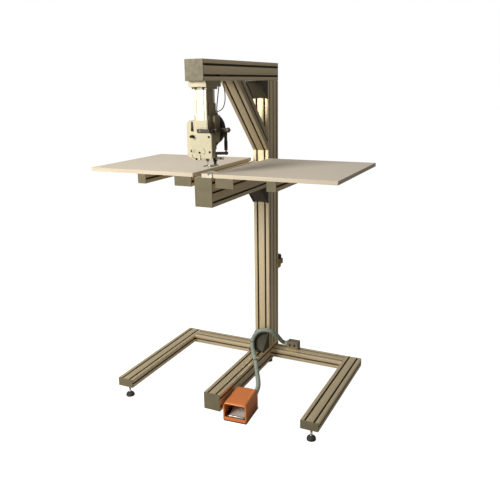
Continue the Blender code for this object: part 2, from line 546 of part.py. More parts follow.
# ---- foot pedal -------------------------------------------------------------------------------
PEDAL = (Matrix.Translation((PEDAL_CENTER[0], PEDAL_CENTER[1] + COLUMN_Y, 0.0))
         @ Matrix.Rotation(PEDAL_TURN, 4, "Z"))
HX = PEDAL_HALF_X
HY = PEDAL_HALF_Y
box("pedal_base", (-HX, HX), (-HY, HY), (0.0, 0.006), RUBBER, frame=PEDAL, bevel=0.001)
hood_outline = [(-HY, 0.0063), (HY, 0.0063), (HY, 0.0880), (HY - 0.014, PEDAL_H), (-HY + 0.010, 0.0900),
                (-HY, 0.0830)]
hood = prism("pedal_hood", hood_outline, "X", -HX, HX, ORANGE, frame=PEDAL)
for sign in (-1.0, 1.0):
    edge_outline = [(sign * HX, 0.0760), (sign * (HX + 0.02), 0.0760), (sign * (HX + 0.02), 0.12),
                    (sign * (HX - 0.018), 0.12), (sign * (HX - 0.018), 0.0995), (sign * (HX - 0.006), 0.0900)]
    combine(hood, prism("cut_hood_edge_" + ("a" if sign < 0 else "b"), edge_outline, "Y", -HY - 0.01, HY + 0.01,
                        ORANGE, frame=PEDAL), "DIFFERENCE")
room_outline = [(-HY - 0.01, 0.0180), (-HY + 0.004, 0.0180), (-HY + 0.004, 0.0), (HY - 0.004, 0.0),
                (HY - 0.004, 0.0820), (-HY - 0.01, 0.0750)]
combine(hood, prism("cut_hood_room", room_outline, "X", -HX + 0.006, HX - 0.006, ORANGE, frame=PEDAL), "DIFFERENCE")
hinge_local = Vector((0.0, -0.0560, 0.0165))
TREADLE = PEDAL @ Matrix.Translation(hinge_local) @ Matrix.Rotation(PEDAL_TILT, 4, "X")
treadle = box("pedal_plate", (-0.036, 0.036), (-0.004, 0.108), (-0.002, 0.002), GREY,
              origin=PEDAL @ hinge_local, frame=TREADLE)
combine(treadle, rod("join_hinge_pin", "X", (0.0, 0.0, 0.0), 0.0040, -0.0475, 0.0475, GREY, 16, frame=TREADLE),
        "UNION")
combine(treadle, box("cut_plate_slot", (-0.022, 0.022), (0.088, 0.096), (-0.01, 0.01), GREY, frame=TREADLE),
        "DIFFERENCE")
GLAND_LOCAL = (0.030, 0.055)
gland_profile = [(0.0, HY + GAP), (0.0150, HY + GAP), (0.0150, HY + 0.006), (0.0115, HY + 0.008),
                 (0.0115, HY + 0.018), (0.0, HY + 0.018)]
revolve("pedal_gland", gland_profile, "Y", (GLAND_LOCAL[0], 0.0, GLAND_LOCAL[1]), GREY, 20, frame=PEDAL)

# ---- air supply on the stand ---------------------------------------------------------------------
valve = box("valve_block", (0.112, 0.172), (0.0, 0.0400), (LEG_TOP_Z + GAP, 0.140), STEEL, bevel=0.001)
for label, x in (("a", 0.130), ("b", 0.154)):
    combine(valve, rod("cut_port_" + label, "Y", (x, 0.0, 0.121), 0.0060, -0.010, 0.012, BLACK, 16), "DIFFERENCE")
fitting_profile = [(0.0, 0.1120 - GAP), (0.0140, 0.1120 - GAP), (0.0140, 0.1060), (0.0115, 0.1040),
                   (0.0115, 0.0980), (0.0, 0.0980)]
revolve("valve_gland", fitting_profile, "X", (0.0, 0.018, 0.1220), GREY, 20)
regulator = box("regulator", (0.0120, 0.0500), (COLUMN_HALF_Y + GAP, 0.1000), (0.5340, 0.5600), BRASS, bevel=0.001)
combine(regulator, rod("join_bowl", "Z", (0.031, 0.0801, 0.0), 0.0140, 0.5080, 0.5360, BRASS, 20), "UNION")
revolve("regulator_knob", [(0.0, 0.5600 + GAP), (0.0150, 0.5600 + GAP), (0.0165, 0.5640), (0.0165, 0.5800),
                           (0.0140, 0.5830), (0.0, 0.5830)], "Z", (0.031, 0.0801, 0.0), BLACK, 24,
        origin=place(0.031, 0.0801, 0.5600))


# ---- hose and cables ----------------------------------------------------------------------------
def smooth_route(points, spacing):
    """Even points along a Catmull-Rom curve through the route's points."""
    route = [Vector(p) for p in points]
    padded = [route[0] * 2 - route[1]] + route + [route[-1] * 2 - route[-2]]
    dense = []
    for i in range(1, len(padded) - 2):
        p0, p1, p2, p3 = padded[i - 1:i + 3]
        for step in range(24):
            t = step / 24.0
            dense.append(0.5 * (2 * p1 + (p2 - p0) * t + (2 * p0 - 5 * p1 + 4 * p2 - p3) * t * t
                                + (3 * p1 - p0 - 3 * p2 + p3) * t * t * t))
    dense.append(route[-1])
    lengths = [0.0]
    for a, b in zip(dense, dense[1:]):
        lengths.append(lengths[-1] + (b - a).length)
    count = max(4, round(lengths[-1] / spacing))
    even = []
    at = 0
    for step in range(count + 1):
        goal = lengths[-1] * step / count
        while at < len(lengths) - 2 and lengths[at + 1] < goal:
            at += 1
        part = (goal - lengths[at]) / (lengths[at + 1] - lengths[at])
        even.append(dense[at].lerp(dense[at + 1], min(1.0, max(0.0, part))))
    return even


def cord(name, points, radius, mat, resolution, spacing, first=None, last=None):
    """A tube along a smooth route, with filled ends square to their given directions."""
    curve = bpy.data.curves.new(name, "CURVE")
    curve.dimensions = "3D"
    curve.bevel_depth = radius
    curve.bevel_resolution = resolution
    curve.use_fill_caps = True
    spline = curve.splines.new("POLY")
    route = smooth_route(points, spacing)
    if first is not None:
        route[1] = route[0] + Vector(first).normalized() * (route[1] - route[0]).length
    if last is not None:
        route[-2] = route[-1] - Vector(last).normalized() * (route[-1] - route[-2]).length
    spline.points.add(len(route) - 1)
    for slot, point in zip(spline.points, route):
        slot.co = (point.x, point.y, point.z, 1.0)
    curve.materials.append(mat)
    obj = bpy.data.objects.new(name, curve)
    bpy.context.scene.collection.objects.link(obj)
    return obj


gland_end = PEDAL @ Vector((GLAND_LOCAL[0], HY + 0.018 + GAP, GLAND_LOCAL[1]))
out_point = PEDAL @ Vector((GLAND_LOCAL[0], HY + 0.034, GLAND_LOCAL[1] + 0.001))
route_points = [gland_end, out_point,
                place(0.116, -0.368, 0.070), place(0.085, -0.314, 0.104), place(0.053, -0.262, 0.137),
                place(0.018, -0.206, 0.141), place(-0.018, -0.146, 0.152), place(-0.029, -0.111, 0.178),
                place(-0.011, -0.094, 0.208), place(0.022, -0.087, 0.222), place(0.055, -0.073, 0.214),
                place(0.075, -0.044, 0.184), place(0.080, -0.014, 0.153), place(0.083, 0.010, 0.130),
                place(0.098 - GAP, 0.018, 0.122)]
cord("pedal_hose", route_points, HOSE_R, HOSE, 3, 0.022, PEDAL.to_3x3() @ Vector((0.0, 1.0, 0.0)),
     (1.0, 0.0, 0.0))
cord("head_cable", [place(0.0200, -0.500, ARM_UNDER_Z - GAP), place(0.0220, -0.506, 1.430),
                    place(0.0290, -0.530, 1.390), place(0.0380, -0.556, 1.355), place(0.0400, -0.562, 1.331 + GAP)],
     CABLE_R, HOSE, 2, 0.009, (0.0, 0.0, -1.0), (0.0, 0.0, -1.0))
cord("head_cable_loop", [place(0.0200, -0.462, ARM_UNDER_Z - GAP), place(0.0195, -0.457, 1.430),
                         place(0.0180, -0.447, 1.394), place(0.0150, -0.446, 1.364), place(0.0120, -0.460, 1.342),
                         place(0.0080, -0.486, 1.332), place(0.0060, -0.515, 1.334),
                         place(0.0060, -0.548 + GAP, 1.338)],
     CABLE_R, HOSE, 2, 0.009, (0.0, 0.0, -1.0), (0.0, -1.0, 0.0))
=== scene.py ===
"""Sewing station: a compact sewing head hung from a slotted aluminium stand.

Metres, +Z up, the operator stands at -Y. Every finished piece sits at the origin with its place
in its mesh. Positions along Y are written from the column's centre and moved by COLUMN_Y.
"""
import logging
import math
from dataclasses import dataclass, field
from enum import Enum
from typing import Optional, Sequence

import bmesh
import bpy
import numpy as np
from mathutils import Matrix


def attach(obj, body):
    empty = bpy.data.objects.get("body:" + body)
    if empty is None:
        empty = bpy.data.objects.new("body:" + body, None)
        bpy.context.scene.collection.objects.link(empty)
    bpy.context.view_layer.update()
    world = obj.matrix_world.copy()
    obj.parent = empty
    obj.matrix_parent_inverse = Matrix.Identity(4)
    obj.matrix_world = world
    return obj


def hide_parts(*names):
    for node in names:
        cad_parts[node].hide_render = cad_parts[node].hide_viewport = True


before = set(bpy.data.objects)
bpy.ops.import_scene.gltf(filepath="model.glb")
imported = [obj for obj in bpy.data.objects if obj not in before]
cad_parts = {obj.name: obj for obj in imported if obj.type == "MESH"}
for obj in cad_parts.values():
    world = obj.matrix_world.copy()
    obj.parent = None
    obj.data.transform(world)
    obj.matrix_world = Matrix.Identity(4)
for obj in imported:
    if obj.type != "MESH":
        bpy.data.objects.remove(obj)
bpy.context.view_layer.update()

LOG = logging.getLogger("sewing_station")
Array = np.ndarray

COLUMN_Y = 0.280        # column centre in the part's frame
MODULE = 0.040          # profile raster
GAP = 0.0003            # clearance between touching pieces
STAND = "stand"         # body that everything fixed rides on


# ---- surfaces ------------------------------------------------------------------------------
class Axis(Enum):
    """The axis that an outline is carried along or turned about."""

    X = "X"
    Y = "Y"
    Z = "Z"

    def place(self, a: Array, b: Array, h: Array) -> Array:
        """Set outline coordinates (a, b) at height h along the axis.

        Args:
            a: first outline coordinate: Y for axis X, otherwise X.
            b: second outline coordinate: Y for axis Z, otherwise Z.
            h: distance along the axis.

        Returns:
            Points with a last dimension of three.
        """
        a, b, h = np.broadcast_arrays(a, b, h)
        order = {Axis.X: (h, a, b), Axis.Y: (a, h, b), Axis.Z: (a, b, h)}[self]
        return np.stack(order, axis=-1).astype(float)


@dataclass
class Shell:
    """A closed or open skin: its points, its four-sided faces and its many-sided faces."""

    points: Array
    quads: Array
    rings: list = field(default_factory=list)

    def turned(self, matrix: Array) -> "Shell":
        """Return the shell moved by a 4 x 4 matrix."""
        moved = self.points @ matrix[:3, :3].T + matrix[:3, 3]
        return Shell(moved, self.quads, self.rings)


def grid_shell(rows: Array, around: bool = True, along: bool = False, caps: bool = True) -> Shell:
    """Join a grid of points into a skin: each face takes four neighbours of the grid.

    Args:
        rows: points of shape (stations, points in a ring, 3).
        around: whether each ring closes on itself.
        along: whether the last ring joins the first one.
        caps: whether the first and last ring are filled.

    Returns:
        The shell.
    """
    stations, count = rows.shape[:2]
    index = np.arange(stations * count).reshape(stations, count)
    if around:
        index = np.concatenate([index, index[:, :1]], axis=1)
    if along:
        index = np.concatenate([index, index[:1]], axis=0)
    quads = np.stack([index[:-1, :-1], index[:-1, 1:], index[1:, 1:], index[1:, :-1]], axis=-1)
    rings = []
    if caps and around and not along:
        rings = [np.arange(count)[::-1], np.arange(count) + (stations - 1) * count]
    return Shell(rows.reshape(-1, 3), quads.reshape(-1, 4), rings)


def rounded(corners: Array, radii: Array, steps: int = 3) -> Array:
    """Round an outline's corners: each corner becomes a quadratic curve between two tangent points.

    Args:
        corners: corner points, shape (n, 2), in order round the outline.
        radii: distance of the tangent points from each corner, one for all or one each.
        steps: points that each corner becomes.

    Returns:
        The rounded outline, shape (n * steps, 2).
    """
    corners = np.asarray(corners, float)
    reach = np.broadcast_to(np.asarray(radii, float), (len(corners),))[:, None]
    back = np.roll(corners, 1, axis=0) - corners
    ahead = np.roll(corners, -1, axis=0) - corners
    start = corners + back / np.linalg.norm(back, axis=1, keepdims=True) * reach
    end = corners + ahead / np.linalg.norm(ahead, axis=1, keepdims=True) * reach
    t = np.linspace(0.0, 1.0, steps)[None, :, None]
    curve = (1 - t) ** 2 * start[:, None] + 2 * t * (1 - t) * corners[:, None] + t ** 2 * end[:, None]
    return curve.reshape(-1, 2)


def rectangle(a: Sequence[float], b: Sequence[float]) -> Array:
    """Return the four corners of a rectangle from its two (low, high) ranges."""
    return np.array([(a[0], b[0]), (a[1], b[0]), (a[1], b[1]), (a[0], b[1])], float)


def slab(outline: Array, axis: Axis, low: float, high: float) -> Shell:
    """Carry an outline straight along an axis: two equal rings, joined and filled.

    Args:
        outline: outline points, shape (n, 2).
        axis: the axis to carry it along.
        low: first height.
        high: second height.

    Returns:
        The closed shell, with Y already moved to the part's frame.
    """
    heights = np.array([low, high])[:, None]
    rows = axis.place(outline[None, :, 0], outline[None, :, 1], heights)
    rows[..., 1] += COLUMN_Y
    return grid_shell(rows)


def block(x: Sequence[float], y: Sequence[float], z: Sequence[float], corner: float = 0.0) -> Shell:
    """Return an upright block from its three ranges, its vertical corners rounded."""
    outline = rectangle(x, y)
    if corner:
        outline = rounded(outline, corner, 5)
    return slab(outline, Axis.Z, z[0], z[1])


def turned_shell(profile: Sequence, axis: Axis, centre: Sequence[float], count: int = 48,
                 hollow: bool = False, shift: bool = True) -> Shell:
    """Turn a profile about an axis: radius r and height h give (r cos t, r sin t, h).

    Args:
        profile: (radius, height) points.
        axis: the axis of revolution.
        centre: a point of the axis; heights add to it.
        count: points in each ring.
        hollow: whether the profile closes on itself and leaves a hole.
        shift: whether Y is moved to the part's frame.

    Returns:
        The closed shell.
    """
    shape = np.asarray(profile, float)
    angle = np.linspace(0.0, 2.0 * math.pi, count, endpoint=False)[None, :]
    radius = np.maximum(shape[:, :1], 1e-5)
    rows = axis.place(radius * np.cos(angle), radius * np.sin(angle), shape[:, 1:2])
    rows += np.asarray(centre, float)
    if shift:
        rows[..., 1] += COLUMN_Y
    return grid_shell(rows, along=hollow, caps=not hollow)


def arc(radius: float, start: float, stop: float, centre: Sequence[float], count: int = 7) -> list:
    """Return profile points on a circular arc, angles in degrees."""
    angle = np.radians(np.linspace(start, stop, count))
    points = np.stack([centre[0] + radius * np.cos(angle), centre[1] + radius * np.sin(angle)], axis=-1)
    return [tuple(point) for point in points]


def thread_shell(radius: float, pitch: float, depth: float, x: float, y: float, z: Sequence[float]) -> Shell:
    """A screw thread: the radius falls and rises once for each pitch along the helix.

    Args:
        radius: crest radius.
        pitch: rise of one turn.
        depth: thread depth.
        x: axis position.
        y: axis position from the column.
        z: lowest and highest point.

    Returns:
        The closed shell.
    """
    angle = np.linspace(0.0, 2.0 * math.pi, 24, endpoint=False)[None, :]
    height = np.linspace(z[0], z[1], max(8, int((z[1] - z[0]) / pitch * 5)))[:, None]
    phase = height / pitch - angle / (2.0 * math.pi)
    r = radius - depth * np.abs(2.0 * (phase - np.floor(phase)) - 1.0)
    rows = np.stack([x + r * np.cos(angle), y + COLUMN_Y + r * np.sin(angle), height + 0.0 * angle], axis=-1)
    return grid_shell(rows)


def unit(vectors: Array) -> Array:
    """Return the vectors at length one."""
    return vectors / np.maximum(np.linalg.norm(vectors, axis=-1, keepdims=True), 1e-12)


def smooth_route(points: Array, spacing: float) -> Array:
    """Even points on the Catmull-Rom curve through a route's points.

    Args:
        points: route points, shape (n, 3).
        spacing: wanted distance between points.

    Returns:
        Points spaced evenly by length.
    """
    route = np.asarray(points, float)
    padded = np.vstack([2 * route[0] - route[1], route, 2 * route[-1] - route[-2]])
    t = np.linspace(0.0, 1.0, 24, endpoint=False)[None, :, None]
    p0, p1, p2, p3 = (padded[i:len(padded) - 3 + i, None] for i in range(4))
    dense = 0.5 * (2 * p1 + (p2 - p0) * t + (2 * p0 - 5 * p1 + 4 * p2 - p3) * t ** 2
                   + (3 * p1 - p0 - 3 * p2 + p3) * t ** 3)
    dense = np.vstack([dense.reshape(-1, 3), route[-1]])
    length = np.concatenate([[0.0], np.cumsum(np.linalg.norm(np.diff(dense, axis=0), axis=1))])
    goal = np.linspace(0.0, length[-1], max(5, int(round(length[-1] / spacing)) + 1))
    return np.stack([np.interp(goal, length, dense[:, k]) for k in range(3)], axis=-1)


def tube_shell(path: Array, radius: Array, count: int = 20) -> Shell:
    """A tube round a path: each ring lies square to the path, at the radius of its station.

    Args:
        path: centreline points, shape (n, 3).
        radius: one radius for each point, or one for all.
        count: points in each ring.

    Returns:
        The closed shell, its ends filled.
    """
    tangent = unit(np.gradient(path, axis=0))
    guide = np.array([0.31, -0.17, 0.93])
    side = unit(np.cross(tangent, guide))
    up = np.cross(side, tangent)
    angle = np.linspace(0.0, 2.0 * math.pi, count, endpoint=False)[None, :, None]
    r = np.broadcast_to(np.asarray(radius, float), (len(path),))[:, None, None]
    rows = path[:, None] + r * (np.cos(angle) * side[:, None] + np.sin(angle) * up[:, None])
    return grid_shell(rows)


def ring_shell(centre: Array, normal: Array, radius: float, width: float, thick: float) -> Shell:
    """A flat band bent round an axis: a small rounded rectangle turned about it.

    Args:
        centre: middle of the band.
        normal: direction of its axis.
        radius: inner radius.
        width: band width along the axis.
        thick: band thickness.

    Returns:
        The closed shell.
    """
    section = rounded(rectangle((radius, radius + thick), (-width / 2, width / 2)), thick * 0.3, 3)
    normal = unit(np.asarray(normal, float))
    side = unit(np.cross(normal, (0.3, 0.2, 0.9)))
    up = np.cross(normal, side)
    angle = np.linspace(0.0, 2.0 * math.pi, 32, endpoint=False)[None, :, None]
    spoke = np.cos(angle) * side + np.sin(angle) * up
    rows = np.asarray(centre) + section[:, :1, None] * spoke + section[:, 1:, None] * normal
    return grid_shell(rows, along=True)


def socket_screw(position: Sequence[float], normal: Sequence[float], radius: float = 0.0042,
                 height: float = 0.003) -> Shell:
    """A round screw head with a sunk drive: a profile turned about the screw's axis.

    Args:
        position: middle of the seat, Y from the column.
        normal: direction that the head points.
        radius: head radius.
        height: head height.

    Returns:
        The closed shell.
    """
    profile = np.array([(1e-5, 0.0), (radius, 0.0), (radius, height * 0.7), (radius * 0.86, height),
                        (radius * 0.52, height), (radius * 0.50, height * 0.35), (1e-5, height * 0.35)])
    angle = np.linspace(0.0, 2.0 * math.pi, 24, endpoint=False)[None, :, None]
    normal = unit(np.asarray(normal, float))
    side = unit(np.cross(normal, (0.3, 0.5, 0.8)))
    spoke = np.cos(angle) * side + np.sin(angle) * np.cross(normal, side)
    rows = profile[:, :1, None] * spoke + profile[:, 1:, None] * normal
    return grid_shell(rows + np.asarray(position, float) + np.array([0.0, COLUMN_Y, 0.0]))


SLOT_MOUTH = 0.0082
SLOT_SHAPE = np.array([(-SLOT_MOUTH / 2, 0.0), (-SLOT_MOUTH / 2, 0.0045), (-0.0100, 0.0045),
                       (-0.0055, 0.0120),
                       (0.0055, 0.0120), (0.0100, 0.0045), (SLOT_MOUTH / 2, 0.0045), (SLOT_MOUTH / 2, 0.0)])
SLOT_ROUND = np.array([0.0009, 0.0005, 0.0006, 0.0012, 0.0012, 0.0006, 0.0005, 0.0009])
GROOVE_SHAPE = np.array([(-0.0030, 0.0), (-0.0030, 0.0025), (0.0030, 0.0025), (0.0030, 0.0)])
GROOVE_ROUND = np.array([0.0005, 0.0004, 0.0004, 0.0005])


def slotted_section(a: Sequence[float], b: Sequence[float], pattern: Array = SLOT_SHAPE,
                    softness: Array = SLOT_ROUND, spread: Optional[float] = None,
                    corner: float = 0.0020) -> Array:
    """Outline of a profile bar: a rectangle with one slot in the middle of each raster field.

    Args:
        a: (low, high) of the first coordinate.
        b: (low, high) of the second coordinate.
        pattern: the slot's corner points, as distance along the side and depth.
        softness: rounding of each of the slot's corners.
        spread: distance of two slots from each side's middle, in place of one per raster field.
        corner: rounding of the bar's own corners.

    Returns:
        The outline, shape (n, 2).
    """
    box = rectangle(a, b)
    outline, radii = [], []
    for side in range(4):
        start, end = box[side], box[(side + 1) % 4]
        length = float(np.linalg.norm(end - start))
        direction = (end - start) / length
        inward = np.array([-direction[1], direction[0]])
        fields = max(1, int(round(length / MODULE)))
        middle = (np.arange(fields) + 0.5) * length / fields
        if spread is not None:
            middle = length / 2.0 + np.array([-spread, spread])
        fields = len(middle)
        along = (middle[:, None] + pattern[None, :, 0]).reshape(-1, 1)
        depth = np.tile(pattern[:, 1], fields)[:, None]
        outline.append(np.vstack([start, start + along * direction + depth * inward]))
        radii.append(np.concatenate([[corner], np.tile(softness, fields)]))
    return rounded(np.vstack(outline), np.concatenate(radii), 3)


# ---- finishes -------------------------------------------------------------------------------
Color = tuple


class Graph:
    """A material's node graph round one Principled shader, with short calls for common nodes."""

    def __init__(self, name: str, roughness: float, metallic: float = 0.0) -> None:
        """Start a material with its plain values."""
        self.material = bpy.data.materials.new(name)
        self.material.use_nodes = True
        self.tree = self.material.node_tree
        self.shader = self.tree.nodes["Principled BSDF"]
        self.value("Roughness", roughness)
        self.value("Metallic", metallic)
        self.object = self.tree.nodes.new("ShaderNodeTexCoord").outputs["Object"]

    def value(self, socket: str, value: object) -> None:
        """Set a constant on the shader's own socket."""
        self.shader.inputs[socket].default_value = value

    def wire(self, output: bpy.types.NodeSocket, target: object) -> None:
        """Link an output to a shader socket by name, or to a given socket."""
        self.tree.links.new(output, self.shader.inputs[target] if isinstance(target, str) else target)

    def scaled(self, scale: Sequence[float], turn: Sequence[float] = (0.0, 0.0, 0.0)) -> bpy.types.NodeSocket:
        """Return object coordinates times a scale, after a turn in radians."""
        node = self.tree.nodes.new("ShaderNodeMapping")
        node.inputs["Scale"].default_value = scale
        node.inputs["Rotation"].default_value = turn
        self.wire(self.object, node.inputs["Vector"])
        return node.outputs["Vector"]

    def noise(self, scale: float, detail: float = 3.0, vector: Optional[bpy.types.NodeSocket] = None,
              rough: float = 0.55, bend: float = 0.0) -> bpy.types.NodeSocket:
        """Return a noise value between 0 and 1."""
        node = self.tree.nodes.new("ShaderNodeTexNoise")
        node.inputs["Scale"].default_value = scale
        node.inputs["Detail"].default_value = detail
        node.inputs["Roughness"].default_value = rough
        node.inputs["Distortion"].default_value = bend
        self.wire(vector or self.object, node.inputs["Vector"])
        return node.outputs["Fac"]

    def cells(self, scale: float, vector: Optional[bpy.types.NodeSocket] = None,
              feature: str = "F1") -> bpy.types.NodeSocket:
        """Return the distance to scattered cell points."""
        node = self.tree.nodes.new("ShaderNodeTexVoronoi")
        node.feature = feature
        node.inputs["Scale"].default_value = scale
        self.wire(vector or self.object, node.inputs["Vector"])
        return node.outputs["Distance"]

    def range(self, source: bpy.types.NodeSocket, low: float, high: float, start: float = 0.35,
              stop: float = 0.65) -> bpy.types.NodeSocket:
        """Map a value from (start, stop) to (low, high), kept inside."""
        node = self.tree.nodes.new("ShaderNodeMapRange")
        for name, value in (("From Min", start), ("From Max", stop), ("To Min", low), ("To Max", high)):
            node.inputs[name].default_value = value
        self.wire(source, node.inputs["Value"])
        return node.outputs["Result"]

    def math(self, kind: str, first: object, second: object) -> bpy.types.NodeSocket:
        """Return a sum, product or other operation of two values or outputs."""
        node = self.tree.nodes.new("ShaderNodeMath")
        node.operation = kind
        for socket, item in zip(node.inputs, (first, second)):
            if isinstance(item, bpy.types.NodeSocket):
                self.wire(item, socket)
            else:
                socket.default_value = item
        return node.outputs[0]

    def blend(self, factor: bpy.types.NodeSocket, first: object, second: object) -> bpy.types.NodeSocket:
        """Mix two colours, or two colour outputs, by a factor."""
        node = self.tree.nodes.new("ShaderNodeMix")
        node.data_type = "RGBA"
        self.wire(factor, node.inputs["Factor"])
        colours = [socket for socket in node.inputs if socket.type == "RGBA"]
        for socket, item in zip(colours, (first, second)):
            if isinstance(item, bpy.types.NodeSocket):
                self.wire(item, socket)
            else:
                socket.default_value = (*item, 1.0)
        return [socket for socket in node.outputs if socket.type == "RGBA"][0]

    def edges(self, low: float = 0.505, high: float = 0.56) -> bpy.types.NodeSocket:
        """Return 1 on outward edges and 0 on flat places."""
        node = self.tree.nodes.new("ShaderNodeNewGeometry")
        return self.range(node.outputs["Pointiness"], 0.0, 1.0, low, high)

    def bump(self, height: bpy.types.NodeSocket, depth: float, strength: float = 1.0) -> None:
        """Raise the surface by a height pattern, depth in metres."""
        node = self.tree.nodes.new("ShaderNodeBump")
        node.inputs["Distance"].default_value = depth
        node.inputs["Strength"].default_value = strength
        self.wire(height, node.inputs["Height"])
        self.wire(node.outputs["Normal"], "Normal")


@dataclass(frozen=True)
class Finish:
    """Common part of every finish: its name, main colour and gloss."""

    name: str
    color: Color
    roughness: float = 0.45

    def material(self) -> bpy.types.Material:
        """Return the finish's material, made on first use."""
        found = bpy.data.materials.get(self.name)
        return found or self.make().material

    def shade(self, factor: float) -> Color:
        """Return the main colour times a factor."""
        return tuple(min(1.0, channel * factor) for channel in self.color)

    def make(self) -> Graph:
        """Build the node graph."""
        raise NotImplementedError


@dataclass(frozen=True)
class Anodised(Finish):
    """Anodised extrusion: fine die lines along the bar, faint cloudy tone, brighter arrises."""

    along: Axis = Axis.Z
    metallic: float = 0.55

    def make(self) -> Graph:
        """Build die lines stretched along the bar, tone and wear."""
        graph = Graph(self.name, self.roughness, self.metallic)
        stretch = {Axis.X: (6.0, 900.0, 900.0), Axis.Y: (900.0, 6.0, 900.0), Axis.Z: (900.0, 900.0, 6.0)}
        lines = graph.noise(1.0, 4.0, graph.scaled(stretch[self.along]))
        cloud = graph.noise(14.0, 4.0)
        tone = graph.blend(graph.range(cloud, 0.0, 1.0), self.shade(0.90), self.shade(1.08))
        tone = graph.blend(graph.range(lines, 0.0, 0.30, 0.45, 0.75), tone, self.shade(0.72))
        graph.wire(graph.blend(graph.edges(), tone, self.shade(1.45)), "Base Color")
        graph.wire(graph.range(lines, self.roughness - 0.07, self.roughness + 0.10), "Roughness")
        graph.bump(lines, 0.00003, 0.35)
        return graph


@dataclass(frozen=True)
class Moulded(Finish):
    """Moulded plastic: fine spark-eroded grain, scuffed paler on its arrises."""

    grain: float = 900.0
    wear: float = 1.35
    coat: float = 0.0
    gloss: float = 0.5

    def make(self) -> Graph:
        """Build grain, a slow tone change and edge wear."""
        graph = Graph(self.name, self.roughness)
        grain = graph.cells(self.grain)
        tone = graph.blend(graph.range(graph.noise(22.0, 3.0), 0.0, 1.0), self.shade(0.88), self.shade(1.10))
        scuff = graph.math("MULTIPLY", graph.edges(), graph.range(graph.noise(160.0, 4.0), 0.2, 1.0))
        graph.wire(graph.blend(scuff, tone, self.shade(self.wear)), "Base Color")
        graph.wire(graph.range(graph.noise(60.0, 4.0), self.roughness - 0.06, self.roughness + 0.10),
                   "Roughness")
        graph.value("Coat Weight", self.coat)
        graph.value("Specular IOR Level", self.gloss)
        graph.bump(grain, 0.00006, 0.5)
        return graph


@dataclass(frozen=True)
class Enamel(Finish):
    """Stoved enamel on a casting: orange peel, patches of oil film, small chips on edges."""

    peel: float = 420.0
    chip: Color = (0.16, 0.15, 0.13)
    coat: float = 0.35

    def make(self) -> Graph:
        """Build orange peel, grime and chipped edges."""
        graph = Graph(self.name, self.roughness)
        peel = graph.noise(self.peel, 2.0)
        grime = graph.noise(38.0, 6.0, rough=0.65, bend=0.6)
        tone = graph.blend(graph.range(grime, 0.0, 0.55, 0.50, 0.78), self.color, self.shade(0.72))
        chips = graph.math("MULTIPLY", graph.edges(0.53, 0.60),
                           graph.range(graph.noise(240.0, 3.0), 0.0, 1.0, 0.52, 0.60))
        graph.wire(graph.blend(chips, tone, self.chip), "Base Color")
        graph.wire(graph.range(grime, self.roughness - 0.08, self.roughness + 0.14), "Roughness")
        graph.value("Coat Weight", self.coat)
        graph.value("Coat Roughness", 0.18)
        graph.bump(peel, 0.00010, 0.35)
        return graph


@dataclass(frozen=True)
class Metal(Finish):
    """Ground or turned metal: fine scratches across the lay and a thin oil haze."""

    lay: Color = (60.0, 900.0, 900.0)
    metallic: float = 1.0

    def make(self) -> Graph:
        """Build scratches and haze."""
        graph = Graph(self.name, self.roughness, self.metallic)
        scratch = graph.noise(1.0, 5.0, graph.scaled(self.lay))
        haze = graph.noise(45.0, 4.0)
        graph.wire(graph.blend(graph.range(haze, 0.0, 1.0), self.shade(0.82), self.shade(1.08)), "Base Color")
        mixed = graph.math("MULTIPLY", graph.range(scratch, 0.75, 1.25), graph.range(haze, 0.8, 1.3))
        graph.wire(graph.math("MULTIPLY", mixed, self.roughness), "Roughness")
        graph.bump(scratch, 0.00002, 0.4)
        return graph


@dataclass(frozen=True)
class Board(Finish):
    """Coated table board: fine speckled decor, soft polished traffic marks."""

    speck: Color = (0.30, 0.24, 0.17)

    def make(self) -> Graph:
        """Build specks, a slow tone drift and rubbed gloss."""
        graph = Graph(self.name, self.roughness)
        speck = graph.range(graph.cells(620.0), 0.0, 1.0, 0.42, 0.20)
        cloud = graph.noise(7.0, 5.0, rough=0.6)
        rub = graph.noise(1.0, 5.0, graph.scaled((4.0, 26.0, 26.0)))
        tone = graph.blend(graph.range(cloud, 0.0, 1.0), self.shade(0.93), self.shade(1.06))
        graph.wire(graph.blend(graph.math("MULTIPLY", speck, 0.16), tone, self.speck), "Base Color")
        graph.wire(graph.range(rub, self.roughness - 0.07, self.roughness + 0.09), "Roughness")
        graph.value("Coat Weight", 0.25)
        graph.value("Coat Roughness", 0.30)
        graph.bump(graph.noise(900.0, 2.0), 0.00004, 0.4)
        return graph


@dataclass(frozen=True)
class EdgeBand(Finish):
    """Layered board edge: thin plies seen end-on, darker glue lines."""

    def make(self) -> Graph:
        """Build plies that follow the height, and fibre grain."""
        graph = Graph(self.name, self.roughness)
        plies = graph.noise(1.0, 3.0, graph.scaled((5.0, 5.0, 700.0)))
        fibre = graph.noise(1.0, 4.0, graph.scaled((240.0, 240.0, 900.0)))
        tone = graph.blend(graph.range(plies, 0.0, 0.8), self.shade(1.06), self.shade(0.74))
        graph.wire(graph.blend(graph.range(fibre, 0.0, 0.3), tone, self.shade(0.62)), "Base Color")
        graph.bump(fibre, 0.00008, 0.5)
        return graph


@dataclass(frozen=True)
class Rubber(Finish):
    """Black rubber: dull, dusty in patches. Its dark copies also stand for painted shade in slots and holes."""

    def make(self) -> Graph:
        """Build dust and a fine rough skin."""
        graph = Graph(self.name, self.roughness)
        dust = graph.noise(70.0, 6.0, rough=0.7)
        graph.wire(graph.blend(graph.range(dust, 0.0, 0.6, 0.45, 0.75), self.color, self.shade(2.6)),
                   "Base Color")
        graph.bump(graph.noise(700.0, 3.0), 0.00012, 0.6)
        return graph


